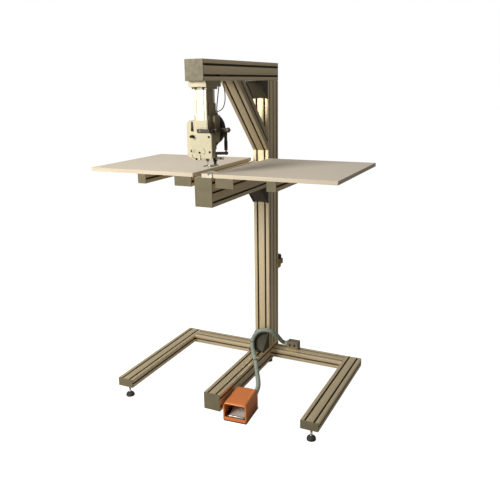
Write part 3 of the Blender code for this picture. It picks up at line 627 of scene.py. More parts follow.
ALLOY = (0.63, 0.525, 0.345)
ALLOY_X = Anodised("anodised_x", ALLOY, 0.40, Axis.X)
ALLOY_Y = Anodised("anodised_y", ALLOY, 0.40, Axis.Y)
ALLOY_Z = Anodised("anodised_z", ALLOY, 0.40, Axis.Z)
# painted shade: dark finish for the insides of the bar slots, where shade falls
SLOT_SHADE = Rubber("slot_shade", (0.130, 0.100, 0.055), 0.70)
POST_ALLOY = Anodised("anodised_post", (0.84, 0.78, 0.58), 0.34, Axis.Z, 0.45)
CAP_GREY = Moulded("cap_grey", (0.185, 0.160, 0.092), 0.50)
COVER_DARK = Moulded("cover_dark", (0.050, 0.042, 0.024), 0.45)
CREAM = Enamel("cream_enamel", (0.74, 0.68, 0.47), 0.38)
# painted shadow: dark enamel for the shadow lines along a cover's joints on the face plate
GAP_SHADOW = Enamel("shadow_enamel", (0.085, 0.065, 0.038), 0.50)
# tan enamel of the motor housing; also painted shade on the right-hand sides of cream parts
TAN_ENAMEL_AND_SIDE_SHADE = Enamel("tan_enamel_and_side_shade", (0.33, 0.26, 0.14), 0.42)
BLACK = Enamel("black_enamel", (0.014, 0.012, 0.009), 0.26, 520.0, (0.10, 0.09, 0.08), 0.5)
NICKEL = Metal("satin_nickel", (0.90, 0.84, 0.70), 0.40, metallic=0.35)
VALVE = Metal("cast_valve", (0.30, 0.26, 0.18), 0.50, metallic=0.40)
STEEL = Metal("ground_steel", (0.60, 0.58, 0.54), 0.27)
ZINC = Metal("zinc_screws", (0.50, 0.49, 0.45), 0.38)
BLACK_STEEL = Metal("black_oxide", (0.035, 0.032, 0.028), 0.42)
BRASS = Metal("turned_brass", (0.62, 0.44, 0.17), 0.30)
TABLE = Board("table_board", (0.47, 0.385, 0.27), 0.34)
EDGE = EdgeBand("table_edge", (0.88, 0.77, 0.58), 0.50)
ORANGE = Moulded("orange_hood", (1.0, 0.040, 0.0), 0.55, 700.0, 1.05, 0.0, 0.12)
BRACKET_BROWN = Enamel("bracket_enamel", (0.060, 0.046, 0.028), 0.40)
LINK_GREY = Moulded("link_grey", (0.115, 0.105, 0.085), 0.42)
GREY = Moulded("grey_plastic", (0.36, 0.355, 0.33), 0.48)
PLATE_GREY = Moulded("plate_grey", (0.50, 0.49, 0.44), 0.46)
HOSE_GREY = Moulded("hose_grey", (0.34, 0.395, 0.33), 0.46, 1100.0, 1.15)
CABLE_DARK = Moulded("cable_dark", (0.12, 0.11, 0.09), 0.42, 1200.0, 1.2)
RUBBER = Rubber("black_rubber", (0.045, 0.042, 0.040), 0.75)
# painted shade: a near-black finish put into holes, bores and grooves, where shade falls
DARK = Rubber("painted_bore_shade", (0.008, 0.007, 0.006), 0.85)


# ---- pieces ---------------------------------------------------------------------------------
def make_piece(name: str, shells: Sequence[Shell], finish: Finish, body: str = STAND,
               replaced: Sequence[str] = (), bevel: float = 0.0, angle: float = 34.0) -> bpy.types.Object:
    """Put shells into one named object, dress it, hang it on its body and hide the CAD nodes that it stands for.

    Args:
        name: the piece's name.
        shells: its closed skins, in the part's frame.
        finish: its finish.
        body: the body that it rides on.
        replaced: CAD nodes that it stands for.
        bevel: width of the rounding on sharp edges, or 0.
        angle: edges sharper than this stay sharp, in degrees.

    Returns:
        The object.
    """
    points = np.vstack([shell.points for shell in shells])
    offsets = np.cumsum([0] + [len(shell.points) for shell in shells[:-1]])
    faces = []
    for shell, offset in zip(shells, offsets):
        faces.extend((shell.quads + offset).tolist())
        faces.extend((ring + offset).tolist() for ring in shell.rings)
    mesh = bpy.data.meshes.new(name)
    mesh.from_pydata(points.tolist(), [], faces)
    work = bmesh.new()
    work.from_mesh(mesh)
    bmesh.ops.remove_doubles(work, verts=work.verts, dist=0.00002)
    bmesh.ops.recalc_face_normals(work, faces=work.faces)
    work.to_mesh(mesh)
    work.free()
    mesh.shade_smooth()
    mesh.set_sharp_from_angle(angle=math.radians(angle))
    mesh.materials.append(finish.material())
    piece = bpy.data.objects.new(name, mesh)
    bpy.context.scene.collection.objects.link(piece)
    if bevel:
        rounding = piece.modifiers.new("Rounding", "BEVEL")
        rounding.width = bevel
        rounding.segments = 3
        rounding.limit_method = "ANGLE"
        rounding.angle_limit = math.radians(38.0)
        rounding.harden_normals = False
    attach(piece, body)
    if replaced:
        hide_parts(*replaced)
    LOG.info("%s: %d points on %s", name, len(mesh.vertices), body)
    return piece


def paint_faces(piece: bpy.types.Object, finish: Finish, direction: Sequence[float],
                limits: Sequence[float]) -> None:
    """Give a second finish to the faces whose normal, taken along a direction, lies in a range.

    Args:
        piece: the object, with one material.
        finish: the second finish.
        direction: unit direction.
        limits: (low, high) of the normal's part along the direction.
    """
    mesh = piece.data
    mesh.materials.append(finish.material())
    normals = np.zeros(len(mesh.polygons) * 3, np.float32)
    mesh.polygons.foreach_get("normal", normals)
    part = normals.reshape(-1, 3) @ np.asarray(direction, np.float32)
    chosen = ((part > limits[0]) & (part < limits[1])).astype(np.int32)
    mesh.polygons.foreach_set("material_index", chosen)


def paint_slot_shade(piece: bpy.types.Object, finish: Finish, across: Array, ends: Array) -> None:
    """Paint shade into the slots: a second, dark finish on the faces sunk more than 1.5 mm behind the bar's flat
    sides.

    Args:
        piece: the bar, with one material.
        finish: the dark finish painted as shade inside the slots.
        across: two unit directions across the bar, shape (2, 3).
        ends: unit direction along the bar, shape (3,); faces that look along it keep the first finish.
    """
    mesh = piece.data
    mesh.materials.append(finish.material())
    centers = np.zeros(len(mesh.polygons) * 3, np.float32)
    normals = np.zeros(len(mesh.polygons) * 3, np.float32)
    corners = np.zeros(len(mesh.vertices) * 3, np.float32)
    mesh.polygons.foreach_get("center", centers)
    mesh.polygons.foreach_get("normal", normals)
    mesh.vertices.foreach_get("co", corners)
    spots = centers.reshape(-1, 3) @ across.T
    reach = corners.reshape(-1, 3) @ across.T
    depth = np.minimum(spots - reach.min(axis=0), reach.max(axis=0) - spots).min(axis=1)
    side = np.abs(normals.reshape(-1, 3) @ ends) < 0.5
    # painted shade: faces deep in the slots take the dark finish
    mesh.polygons.foreach_set("material_index", ((depth > 0.0015) & side).astype(np.int32))


# ---- camera ---------------------------------------------------------------------------------
@dataclass
class Viewpoint:
    """The camera: where it stands and how it is turned."""

    place: Color = (1.190, -2.406, 1.437)
    yaw: float = 25.53
    pitch: float = 15.48
    roll: float = -0.83
    lens: float = 43.2

    def build(self) -> None:
        """Make the camera from its view direction, right and up vectors."""
        yaw, pitch, roll = (math.radians(value) for value in (self.yaw, self.pitch, self.roll))
        ahead = np.array([-math.sin(yaw) * math.cos(pitch), math.cos(yaw) * math.cos(pitch),
                          -math.sin(pitch)])
        right = np.array([math.cos(yaw), math.sin(yaw), 0.0])
        up = np.cross(right, ahead)
        turned = right * math.cos(roll) + up * math.sin(roll)
        raised = -right * math.sin(roll) + up * math.cos(roll)
        matrix = np.eye(4)
        matrix[:3, 0], matrix[:3, 1], matrix[:3, 2], matrix[:3, 3] = turned, raised, -ahead, self.place
        data = bpy.data.cameras.new("camera")
        data.sensor_width = 36.0
        data.lens = self.lens
        data.clip_end = 50.0
        camera = bpy.data.objects.new("camera", data)
        bpy.context.scene.collection.objects.link(camera)
        camera.matrix_world = Matrix(matrix.tolist())
        bpy.context.scene.camera = camera


# ---- hose and cables --------------------------------------------------------------------------
@dataclass
class Supply:
    """The air hose with its ties, the pedal's frame, and the two cables at the head."""

    pedal_centre: Color = (0.104, -0.529)
    pedal_turn: float = 4.0
    gland: Color = (0.030, 0.0933, 0.055)
    hose_radius: float = 0.011
    cable_radius: float = 0.002

    def pedal_matrix(self) -> Array:
        """Return the pedal's frame: turned about Z and moved to its place."""
        turn = math.radians(self.pedal_turn)
        matrix = np.eye(4)
        matrix[:2, :2] = [[math.cos(turn), -math.sin(turn)], [math.sin(turn), math.cos(turn)]]
        matrix[:3, 3] = (self.pedal_centre[0], self.pedal_centre[1] + COLUMN_Y, 0.0)
        return matrix

    def hose(self) -> None:
        """Carry a ribbed tube along the hose's route; the radius waves once for each rib."""
        matrix = self.pedal_matrix()
        start = matrix[:3, :3] @ np.array(self.gland) + matrix[:3, 3]
        lead = matrix[:3, :3] @ (np.array(self.gland) + (0.0, 0.016, 0.001)) + matrix[:3, 3]
        inner = np.array([(0.116, -0.368, 0.070), (0.085, -0.314, 0.104), (0.053, -0.262, 0.137),
                          (0.018, -0.206, 0.141), (-0.018, -0.146, 0.152), (-0.029, -0.111, 0.178),
                          (-0.011, -0.094, 0.208), (0.022, -0.087, 0.222), (0.055, -0.073, 0.214),
                          (0.075, -0.044, 0.184), (0.080, -0.014, 0.153), (0.083, 0.010, 0.130),
                          (0.0977, 0.018, 0.122)]) + (0.0, COLUMN_Y, 0.0)
        route = np.vstack([start, lead, inner])
        path = smooth_route(route, 0.0008)
        length = float(np.linalg.norm(np.diff(path, axis=0), axis=1).sum())
        travelled = np.linspace(0.0, length, len(path))
        rib = 0.5 + 0.5 * np.cos(travelled / 0.0036 * 2.0 * math.pi)
        radius = self.hose_radius - 0.0010 * (1.0 - rib) ** 2
        tube = make_piece("air_hose", [tube_shell(path, radius, 20)], HOSE_GREY,
                          replaced=["pedal_hose"], angle=80.0)
        for number, share in enumerate((0.315, 0.565)):
            spot = int(share * len(path))
            normal = unit(path[spot + 4] - path[spot - 4])
            band = ring_shell(path[spot], normal, self.hose_radius - 0.0001, 0.0042, 0.0013)
            side = unit(np.cross(normal, (0.1, 0.9, 0.3)))
            head = path[spot] + side * (self.hose_radius + 0.0022)
            lock = tube_shell(np.stack([head - normal * 0.003, head + normal * 0.003]), 0.0028, 12)
            make_piece(f"hose_tie_{number}", [band, lock], CABLE_DARK)

    def cables(self) -> None:
        """Carry two thin round cables from the arm's lower slot to the head."""
        ways = {"head_cable": [(0.0200, -0.500, 1.4497), (0.0220, -0.506, 1.430), (0.0290, -0.530, 1.390),
                               (0.0380, -0.556, 1.355), (0.0400, -0.562, 1.3313)],
                "head_cable_loop": [(0.0200, -0.462, 1.4497), (0.0195, -0.457, 1.430),
                                    (0.0180, -0.447, 1.394),
                                    (0.0150, -0.446, 1.364), (0.0120, -0.460, 1.342), (0.0080, -0.486, 1.332),
                                    (0.0060, -0.515, 1.334), (0.0060, -0.5477, 1.338)]}
        for name, points in ways.items():
            route = np.array(points) + (0.0, COLUMN_Y, 0.0)
            path = smooth_route(route, 0.0030)
            cable = make_piece(name + "_line", [tube_shell(path, self.cable_radius, 14)], CABLE_DARK,
                               replaced=[name], angle=80.0)


# ---- stand ------------------------------------------------------------------------------------
@dataclass
class Stand:
    """Column, two arms, brace, three-legged base, end caps, brackets and levelling feet."""

    half: float = 0.040
    cap: float = 0.0037
    caps: list = field(default_factory=list)

    def bar(self, name: str, axis: Axis, a: Sequence[float], b: Sequence[float],
            ends: Sequence[float]) -> None:
        """Carry a slotted section along an axis.

        Args:
            name: the CAD node it stands for.
            axis: direction of the bar.
            a: range of the section's first coordinate.
            b: range of the section's second coordinate.
            ends: range along the bar.
        """
        finish = {Axis.X: ALLOY_X, Axis.Y: ALLOY_Y, Axis.Z: ALLOY_Z}[axis]
        shell = slab(slotted_section(a, b), axis, ends[0], ends[1])
        piece = make_piece(name + "_bar", [shell], finish, replaced=[name])
        order = {Axis.X: (1, 2, 0), Axis.Y: (0, 2, 1), Axis.Z: (0, 1, 2)}[axis]
        paint_slot_shade(piece, SLOT_SHADE, np.eye(3)[list(order[:2])], np.eye(3)[order[2]])

    def plate_cap(self, name: str, x: Sequence[float], y: Sequence[float], z: Sequence[float],
                  replaced: Sequence[str] = (), split: int = 1) -> None:
        """A moulded end cap facing along Y, in one or more strips side by side.

        Args:
            name: the piece's name.
            x: range across.
            y: range along the bar.
            z: range upwards.
            replaced: CAD nodes that it stands for.
            split: number of strips, with a fine joint between them.
        """
        edges = np.linspace(x[0], x[1], split + 1)
        shells = []
        for low, high in zip(edges[:-1], edges[1:]):
            outline = rounded(rectangle((low, high), z), 0.0022, 5)
            shells.append(slab(outline, Axis.Y, y[0], y[1]))
        make_piece(name, shells, CAP_GREY, replaced=replaced, bevel=0.0011)

    def frame_bars(self) -> None:
        """Make the column, the arms and the base."""
        wide = (-self.half, self.half)
        self.bar("column", Axis.Z, wide, (-0.060, 0.060), (0.1203, 1.4497))
        self.bar("arm_upper", Axis.Y, wide, (1.450, 1.530), (-0.6560, 0.0560))
        self.bar("arm_lower", Axis.Y, wide, (0.960, 1.080), (-0.6160, -0.0603))
        self.bar("base_leg_center", Axis.Y, wide, (0.040, 0.120), (-0.6060, 0.0563))
        for side, sign in (("left", -1.0), ("right", 1.0)):
            across = sorted((sign * 0.420, sign * 0.500))
            self.bar("base_leg_" + side, Axis.Y, across, (0.060, 0.100), (-0.6160, 0.0363))
            self.bar("base_beam_" + side, Axis.X, (-0.040, 0.040), (0.060, 0.100),
                     sorted((sign * 0.0403, sign * 0.4197)))

    def brace(self) -> None:
        """Carry the section at 45 degrees; each ring lies in the plane of the face it meets."""
        section = slotted_section((-self.half, self.half), (-0.0264, 0.0264))
        along = np.array([0.0, -1.0, 1.0]) / math.sqrt(2.0)
        out = np.array([0.0, -1.0, -1.0]) / math.sqrt(2.0)
        middle = np.array([0.0, -0.2003, 1.3097])
        base = middle + section[:, :1] * np.array([1.0, 0.0, 0.0]) + section[:, 1:] * out
        top = base + along * ((1.4497 - base[:, 2:]) / along[2])
        foot = base + along * ((-0.0603 - base[:, 1:2]) / along[1])
        rows = np.stack([foot, top]) + (0.0, COLUMN_Y, 0.0)
        # painted shade: the brace takes a darker, duller copy of the alloy, so it reads as shaded
        finish = Anodised("anodised_brace_shaded", (0.335, 0.285, 0.195), 0.50, Axis.Z, 0.30)
        piece = make_piece("brace_bar", [grid_shell(rows)], finish, replaced=["brace"])
        paint_slot_shade(piece, SLOT_SHADE, np.array([(1.0, 0.0, 0.0), out]), along)

    def end_caps(self) -> None:
        """Make the caps on every open bar end."""
        wide = (-self.half, self.half)
        self.plate_cap("upper_arm_cap_front", wide, (-0.660, -0.6563), (1.450, 1.530),
                       ["cap_arm_upper_front"])
        self.plate_cap("upper_arm_cap_rear", wide, (0.0563, 0.060), (1.450, 1.530), ["cap_arm_upper_rear"])
        self.plate_cap("lower_arm_cap", wide, (-0.620, -0.6163), (0.960, 1.080), ["cap_arm_lower"], split=2)
        self.plate_cap("center_leg_cap", wide, (-0.610, -0.6063), (0.040, 0.120), ["cap_leg_center"])
        self.plate_cap("center_leg_cap_rear", wide, (0.0566, 0.060), (0.040, 0.120))
        for side, sign in (("left", -1.0), ("right", 1.0)):
            across = sorted((sign * 0.420, sign * 0.500))
            self.plate_cap(f"{side}_leg_cap", across, (-0.620, -0.6163), (0.060, 0.100), ["cap_leg_" + side])
            self.plate_cap(f"{side}_leg_cap_rear", across, (0.0366, 0.040), (0.060, 0.100))

    def gussets(self) -> None:
        """Make the corner brackets: two cast cheeks and a sloping cover set a little lower."""
        for name, corner, up in (("bracket_upper", 1.450, -1.0), ("bracket_lower", 0.960, -1.0),
                                 ("bracket_base", 0.120, 1.0)):
            y0, z0, size = -0.0603, corner + up * GAP, 0.0797
            steps = np.array([(0.0, 0.0), (-size, 0.0), (-size, up * 0.010), (-0.010, up * size),
                              (0.0, up * size)])
            cheek = rounded(np.array([y0, z0]) + steps, 0.0022, 4)
            low = np.array([(-0.002, up * 0.002), (-size + 0.003, up * 0.002), (-size + 0.003, up * 0.0075),
                            (-0.0075, up * (size - 0.003)), (-0.002, up * (size - 0.003))])
            cover = rounded(np.array([y0, z0]) + low, 0.0015, 4)
            shells = [slab(cheek, Axis.X, -0.0395, -0.0335), slab(cover, Axis.X, -0.0334, 0.0334),
                      slab(cheek, Axis.X, 0.0335, 0.0395)]
            make_piece(name + "_cover", shells, COVER_DARK, replaced=[name], bevel=0.0011)

    def foot(self, side: str, x: float, y: float, under: float) -> None:
        """A levelling foot: ribbed pad, ball collar, threaded spindle and lock nut.

        Args:
            side: name of the foot.
            x: spindle position.
            y: spindle position from the column.
            under: underside of the leg.
        """
        body = f"foot_{side}_body"
        pad = [(0.0, 0.0), (0.0175, 0.0), (0.0195, 0.0008), (0.0200, 0.0025)] \
            + [(0.0200, 0.0060)] + arc(0.0120, 15.0, 88.0, (0.0078, 0.0065), 9) + [(0.0070, 0.0196),
                                                                                   (0.0, 0.0196)]
        angle = np.linspace(0.0, 2.0 * math.pi, 96, endpoint=False)[None, :]
        shape = np.asarray(pad)
        ribs = 1.0 - 0.035 * (0.5 + 0.5 * np.cos(24.0 * angle)) * (shape[:, 1:2] > 0.004) * (shape[:,
                                                                                                   :1] > 0.009)
        r = np.maximum(shape[:, :1], 1e-5) * ribs
        rows = np.stack([x + r * np.cos(angle), y + COLUMN_Y + r * np.sin(angle),
                         shape[:, 1:2] + 0.0 * angle], -1)
        make_piece(f"foot_{side}_pad", [grid_shell(rows)], RUBBER, body, [f"foot_{side}"],
                   angle=60.0)
        collar = turned_shell([(0.0, 0.0190), (0.0068, 0.0190), (0.0072, 0.0205), (0.0066, 0.0222),
                               (0.0, 0.0224)],
                              Axis.Z, (x, y, 0.0), 32)
        spindle = thread_shell(0.0050, 0.0015, 0.0006, x, y, (0.0215, under + 0.020))
        corners = np.radians(np.arange(6) * 60.0 + 12.0)
        nut_outline = np.stack([x + 0.0090 * np.cos(corners), y + 0.0090 * np.sin(corners)], -1)
        nut = slab(rounded(nut_outline, 0.0006, 3), Axis.Z, under - 0.0092, under - 0.0018)
        make_piece(f"foot_{side}_spindle", [collar, spindle, nut], ZINC, body, bevel=0.0)

    def slot_fittings(self) -> None:
        """Make the small black clip in the upper arm's slot."""
        outline = rounded(rectangle((-0.527, -0.470), (1.4665, 1.4740)), 0.0012, 4)
        clip = slab(outline, Axis.X, 0.0362, 0.0399)
        make_piece("arm_slot_clip", [clip], COVER_DARK, bevel=0.0006)

    def build(self) -> None:
        """Build the whole stand."""
        self.frame_bars()
        self.brace()
        self.end_caps()
        self.gussets()
        self.foot("left", -0.460, -0.590, 0.060)
        self.foot("right", 0.460, -0.590, 0.060)
        self.foot("rear", 0.0, 0.020, 0.040)
        self.slot_fittings()


# ---- tables -------------------------------------------------------------------------------------
@dataclass
class Tables:
    """Two work tables with their beams, rails, spacer blocks and the throat plate."""

    inner: float = 0.046
    outer: float = 0.558
    top: float = 1.096
    under: float = 1.0803

    def boards(self) -> None:
        """Make the coated boards with their pale edges."""
        for side, sign in (("left", -1.0), ("right", 1.0)):
            across = sorted((sign * self.inner, sign * self.outer))
            outline = rounded(rectangle(across, (-0.620, -0.070)), 0.003, 5)
            piece = make_piece(f"table_{side}_board", [slab(outline, Axis.Z, self.under, self.top)], TABLE,
                               replaced=["table_" + side], bevel=0.0007)
            paint_faces(piece, EDGE, (0.0, 0.0, 1.0), (-0.5, 0.5))

    def supports(self, stand: Stand) -> None:
        """Make beams, cross rails, spacer blocks with their screws, and beam caps.

        Args:
            stand: gives the bar and cap builders.
        """
        under = (1.040, 1.080)
        for side, sign in (("left", -1.0), ("right", 1.0)):
            for name, low, high in (("inner", 0.055, 0.135), ("outer", 0.2755, 0.3155)):
                across = sorted((sign * low, sign * high))
                stand.bar(f"table_beam_{name}_{side}", Axis.Y, across, under, (-0.6155, -0.0785))
                stand.plate_cap(f"beam_cap_{name}_{side}", across, (-0.619, -0.6158), under)
                stand.plate_cap(f"beam_cap_{name}_{side}_rear", across, (-0.0782, -0.075), under)
            stand.bar("table_rail_" + side, Axis.X, (-0.340, -0.300), under,
                      sorted((sign * 0.1353, sign * 0.2752)))
            x = sorted((sign * 0.0403, sign * 0.0547))
            shells = [slab(rounded(rectangle((-0.420, -0.220), (1.022, 1.078)), 0.004, 5), Axis.X, x[0],
                           x[1])]
            make_piece("table_mount_plate_" + side, shells, STEEL,
                       replaced=["table_mount_" + side],
                       bevel=0.0008)
            screws = [socket_screw((sign * 0.0475, y, 1.0220), (0.0, 0.0, -1.0), 0.0042, 0.0036)
                      for y in (-0.400, -0.320, -0.240)]
            make_piece("table_mount_screws_" + side, screws, ZINC)

    def throat(self) -> None:
        """Make the throat plate: a raised block, a polished inset, its screws, and near-black pieces painted as
        the shade in its needle hole, feed slots and groove.
        """
        left = slab(rounded(rectangle((-0.0060, 0.0243), (-0.6200, -0.5400)), 0.0012, 4), Axis.Z, 1.0803,
                    1.0958)
        right = slab(rounded(rectangle((0.0297, 0.0400), (-0.6200, -0.5400)), 0.0012, 4), Axis.Z, 1.0803,
                     1.0958)
        floor = block((0.0230, 0.0310), (-0.6195, -0.5600), (1.0803, 1.0905), 0.0008)
        rear = block((0.0230, 0.0310), (-0.5600, -0.5400), (1.0803, 1.0958), 0.0008)
        inset = slab(rounded(rectangle((0.0060, 0.0232), (-0.6175, -0.5660)), 0.003, 6), Axis.Z, 1.0950,
                     1.0960)
        make_piece("throat_plate_steel", [left, right, floor, rear, inset], NICKEL,
                   replaced=["throat_plate"], bevel=0.0004)
        # painted shade: a thin near-black disc, strips and a groove strip lie in the holes to stand for their
        # shade
        hole = turned_shell([(0.0, 1.0955), (0.0026, 1.0955), (0.0026, 1.09603), (0.0, 1.09603)], Axis.Z,
                            (0.018, -0.608, 0.0), 24)
        slots = [slab(rounded(rectangle((x, x + 0.0016), (-0.600, -0.576)), 0.0006, 3), Axis.Z, 1.0952,
                      1.09603)
                 for x in (0.0090, 0.0130, 0.0200)]
        groove = block((0.0245, 0.0295), (-0.6190, -0.5610), (1.0900, 1.0908), 0.0004)
        make_piece("throat_plate_hole_shade", [hole, groove] + slots, DARK)
        screws = [socket_screw((x, y, 1.0952), (0.0, 0.0, 1.0), 0.0030, 0.0008)
                  for x, y in ((-0.001, -0.548), (0.035, -0.548), (0.035, -0.612))]
        make_piece("throat_plate_screws", screws, ZINC)

    def build(self, stand: Stand) -> None:
        """Build boards, supports and throat plate."""
        self.boards()
        self.supports(stand)
        self.throat()


# ---- sewing head -----------------------------------------------------------------------------------
@dataclass
class SewingHead:
    """The hanging head: hanger, castings, face plate, shaft, needle, presser and lifter."""

    shaft: Color = (-0.004, 1.265)
    needle: Color = (0.018, -0.608)
    presser: Color = (0.034, -0.576)
    lifter: Color = (0.073, -0.555)

    def hanger(self) -> None:
        """Make the mounting plate, its collar, bolts and the bright post."""
        plate = block((-0.040, 0.040), (-0.640, -0.520), (1.4280, 1.4497), 0.003)
        collar = block((-0.034, 0.034), (-0.626, -0.540), (1.4190, 1.4285), 0.002)
        piece = make_piece("head_mount_plate", [plate, collar], CREAM, replaced=["head_mount"],
                           bevel=0.0010)
        # painted shade: the plate's right-hand (+X) faces take the darker tan
        paint_faces(piece, TAN_ENAMEL_AND_SIDE_SHADE, (1.0, 0.0, 0.0), (0.8, 1.1))
        bolts = [socket_screw((x, -0.626, 1.4236), (0.0, -1.0, 0.0), 0.0042, 0.0045) for x in (-0.0145,
                                                                                               0.0195)]
        bolts += [socket_screw((-0.0275, -0.626, 1.4238), (0.0, -1.0, 0.0), 0.0022, 0.0025)]
        bolts += [socket_screw((x, -0.530, 1.4280), (0.0, 0.0, -1.0), 0.0050, 0.005) for x in (-0.022, 0.022)]
        make_piece("head_mount_bolts", bolts, BLACK_STEEL)
        section = slotted_section((-0.026, 0.026), (-0.618, -0.548), GROOVE_SHAPE, GROOVE_ROUND, 0.0165,
                                  0.0025)
        make_piece("head_post_bar", [slab(section, Axis.Z, 1.3033, 1.4187)], POST_ALLOY,
                   replaced=["head_post"])
        # painted shade: thin tan sheets on the post's right-hand side make that side dark
        cover = slab(rounded(rectangle((-0.6165, -0.5680), (1.3205, 1.4185)), 0.0015, 4), Axis.X, 0.0262,
                     0.0276)
        cheek = slab(rounded(rectangle((-0.6060, -0.5500), (1.3205, 1.3660)), 0.003, 5), Axis.X, 0.0270,
                     0.0302)
        make_piece("head_post_side_shade", [cover, cheek], TAN_ENAMEL_AND_SIDE_SHADE, bevel=0.0006)

    def casting(self) -> None:
        """Make the front casting with its sunk mechanism room, and the round-bottomed housing."""
        upper = [(0.0515, 1.2480), (0.0460, 1.2555), (0.0320, 1.2555), (0.0320, 1.3030), (-0.0500, 1.3030),
                 (-0.0595, 1.2965), (-0.0630, 1.2860)]
        outline = np.array([(-0.0545, 1.1580), (0.0455, 1.1580),
                            (0.0515, 1.1640)] + upper + [(-0.0630, 1.1680)])
        body = slab(rounded(outline, 0.0030, 5), Axis.Y, -0.6250, -0.6000)
        rear = slab(rounded(np.array([(-0.0630, 1.2250), (0.0515, 1.2250)] + upper), 0.0025, 5), Axis.Y,
                    -0.6010, -0.5900)
        pad = slab(rounded(rectangle((-0.0215, 0.0290), (1.2735, 1.2985)), 0.004, 5), Axis.Y, -0.6262,
                   -0.6240)
        piece = make_piece("head_casting_body", [body, rear, pad], CREAM,
                           replaced=["head_casting"],
                           bevel=0.0018)
        # painted shade: the casting's right-hand (+X) faces take the darker tan
        paint_faces(piece, TAN_ENAMEL_AND_SIDE_SHADE, (1.0, 0.0, 0.0), (0.8, 1.1))
        angle = np.radians(182.0 + 176.0 * np.linspace(0.0, 1.0, 27))
        bottom = np.stack([0.0455 * np.cos(angle), 1.2480 + 0.0620 * np.sin(angle)], -1)
        sides = np.array([(0.0455, 1.2550), (0.0455, 1.3160), (0.0415, 1.3200), (-0.0415, 1.3200),
                          (-0.0455, 1.3160), (-0.0455, 1.2550)])
        front = slab(np.vstack([bottom, sides[:1], [(0.0455, 1.3022), (-0.0455, 1.3022)], sides[-1:]]),
                     Axis.Y,
                     -0.5897, -0.5475)
        back = slab(np.vstack([bottom, sides]), Axis.Y, -0.5477, -0.5460)
        ears = [block(sorted((sign * 0.0266, sign * 0.0455)), (-0.5897, -0.5470), (1.3018, 1.3200))
                for sign in (-1.0, 1.0)]
        bush = turned_shell([(0.0042, 1.1880), (0.0066, 1.1880), (0.0075, 1.1890), (0.0075, 1.2100),
                             (0.0042, 1.2100)],
                            Axis.Z, (0.034, -0.576, 0.0), 32, hollow=True)
        boss = turned_shell([(0.0, 1.316), (0.0046, 1.316), (0.0046, 1.322), (0.0040, 1.323),
                             (0.0040, 1.3305),
                             (0.0030, 1.331), (0.0, 1.331)], Axis.Z, (0.040, -0.562, 0.0), 24)
        make_piece("motor_housing_body", [front, back, *ears, boss, bush], TAN_ENAMEL_AND_SIDE_SHADE,
                   replaced=["motor_housing"],
                   bevel=0.0012)
        screw = socket_screw((0.0400, -0.5675, 1.2130), (0.75, 0.0, -0.66), 0.0042, 0.0030)
        make_piece("motor_housing_screw", [screw], BLACK_STEEL)
        fins = [slab(rounded(rectangle((0.0455, 0.0462), (z, z + 0.0024)), 0.0002, 2), Axis.Y, -0.586, -0.556)
                for z in np.arange(1.276, 1.312, 0.0065)]
        make_piece("motor_housing_fins", fins, TAN_ENAMEL_AND_SIDE_SHADE)

    def face(self) -> None:
        """Make the face plate with its screws, dark lines painted as the shadows in a cover's joints, and
        name-free badge field.
        """
        outline = np.array([(0.0020, 1.1570), (0.0455, 1.1570), (0.0515, 1.1630), (0.0515, 1.2480),
                            (0.0440, 1.2550), (-0.0470, 1.2550), (-0.0470, 1.1680), (-0.0330, 1.1520),
                            (-0.0240, 1.1490), (-0.0020, 1.1490)])
        plate = slab(rounded(outline, 0.0030, 6), Axis.Y, -0.6325, -0.6253)
        make_piece("face_plate_cover", [plate], CREAM, replaced=["face_plate"], bevel=0.0018)
        seats = [(-0.0430, 1.2410, 0.0034), (0.0400, 1.2410, 0.0042),
                 (-0.0400, 1.1850, 0.0034), (-0.0030, 1.1800, 0.0042), (0.0420, 1.1830, 0.0042),
                 (-0.0180, 1.1545, 0.0042)]
        screws = [socket_screw((x, -0.6325, z), (0.0, -1.0, 0.0), radius, 0.0026) for x, z, radius in seats]
        make_piece("face_plate_screws", screws, BLACK_STEEL)
        # painted shadow: thin dark tubes trace the gap shadows round a separate cover on the plate
        angle = np.radians(np.linspace(-95.0, 100.0, 28))
        path = np.stack([0.0130 + 0.0080 * np.cos(angle), np.full(28, -0.6325 + COLUMN_Y),
                         1.1850 + 0.0105 * np.sin(angle)], -1)
        bow = np.radians(np.linspace(175.0, 262.0, 18))
        curve = np.stack([-0.0190 + 0.0180 * np.cos(bow), np.full(18, -0.6325 + COLUMN_Y),
                          1.1700 + 0.0150 * np.sin(bow)], -1)
        hook = np.array([(0.0030, 1.1720), (0.0008, 1.1670), (-0.0002, 1.1610), (0.0006, 1.1540),
                         (0.0020, 1.1515)])
        stroke = smooth_route(np.stack([hook[:, 0], np.full(5, -0.6325 + COLUMN_Y), hook[:, 1]], -1), 0.001)
        make_piece("face_plate_gap_shadows", [tube_shell(path, 0.0010, 10), tube_shell(curve, 0.0012, 10),
                                          tube_shell(stroke, 0.0013, 10)], GAP_SHADOW)
        hatch = slab(rounded(rectangle((-0.0420, 0.0035), (1.1690, 1.1930)), 0.004, 6), Axis.Y, -0.63302,
                     -0.6315)
        make_piece("face_plate_hatch", [hatch], CREAM, bevel=0.0004)

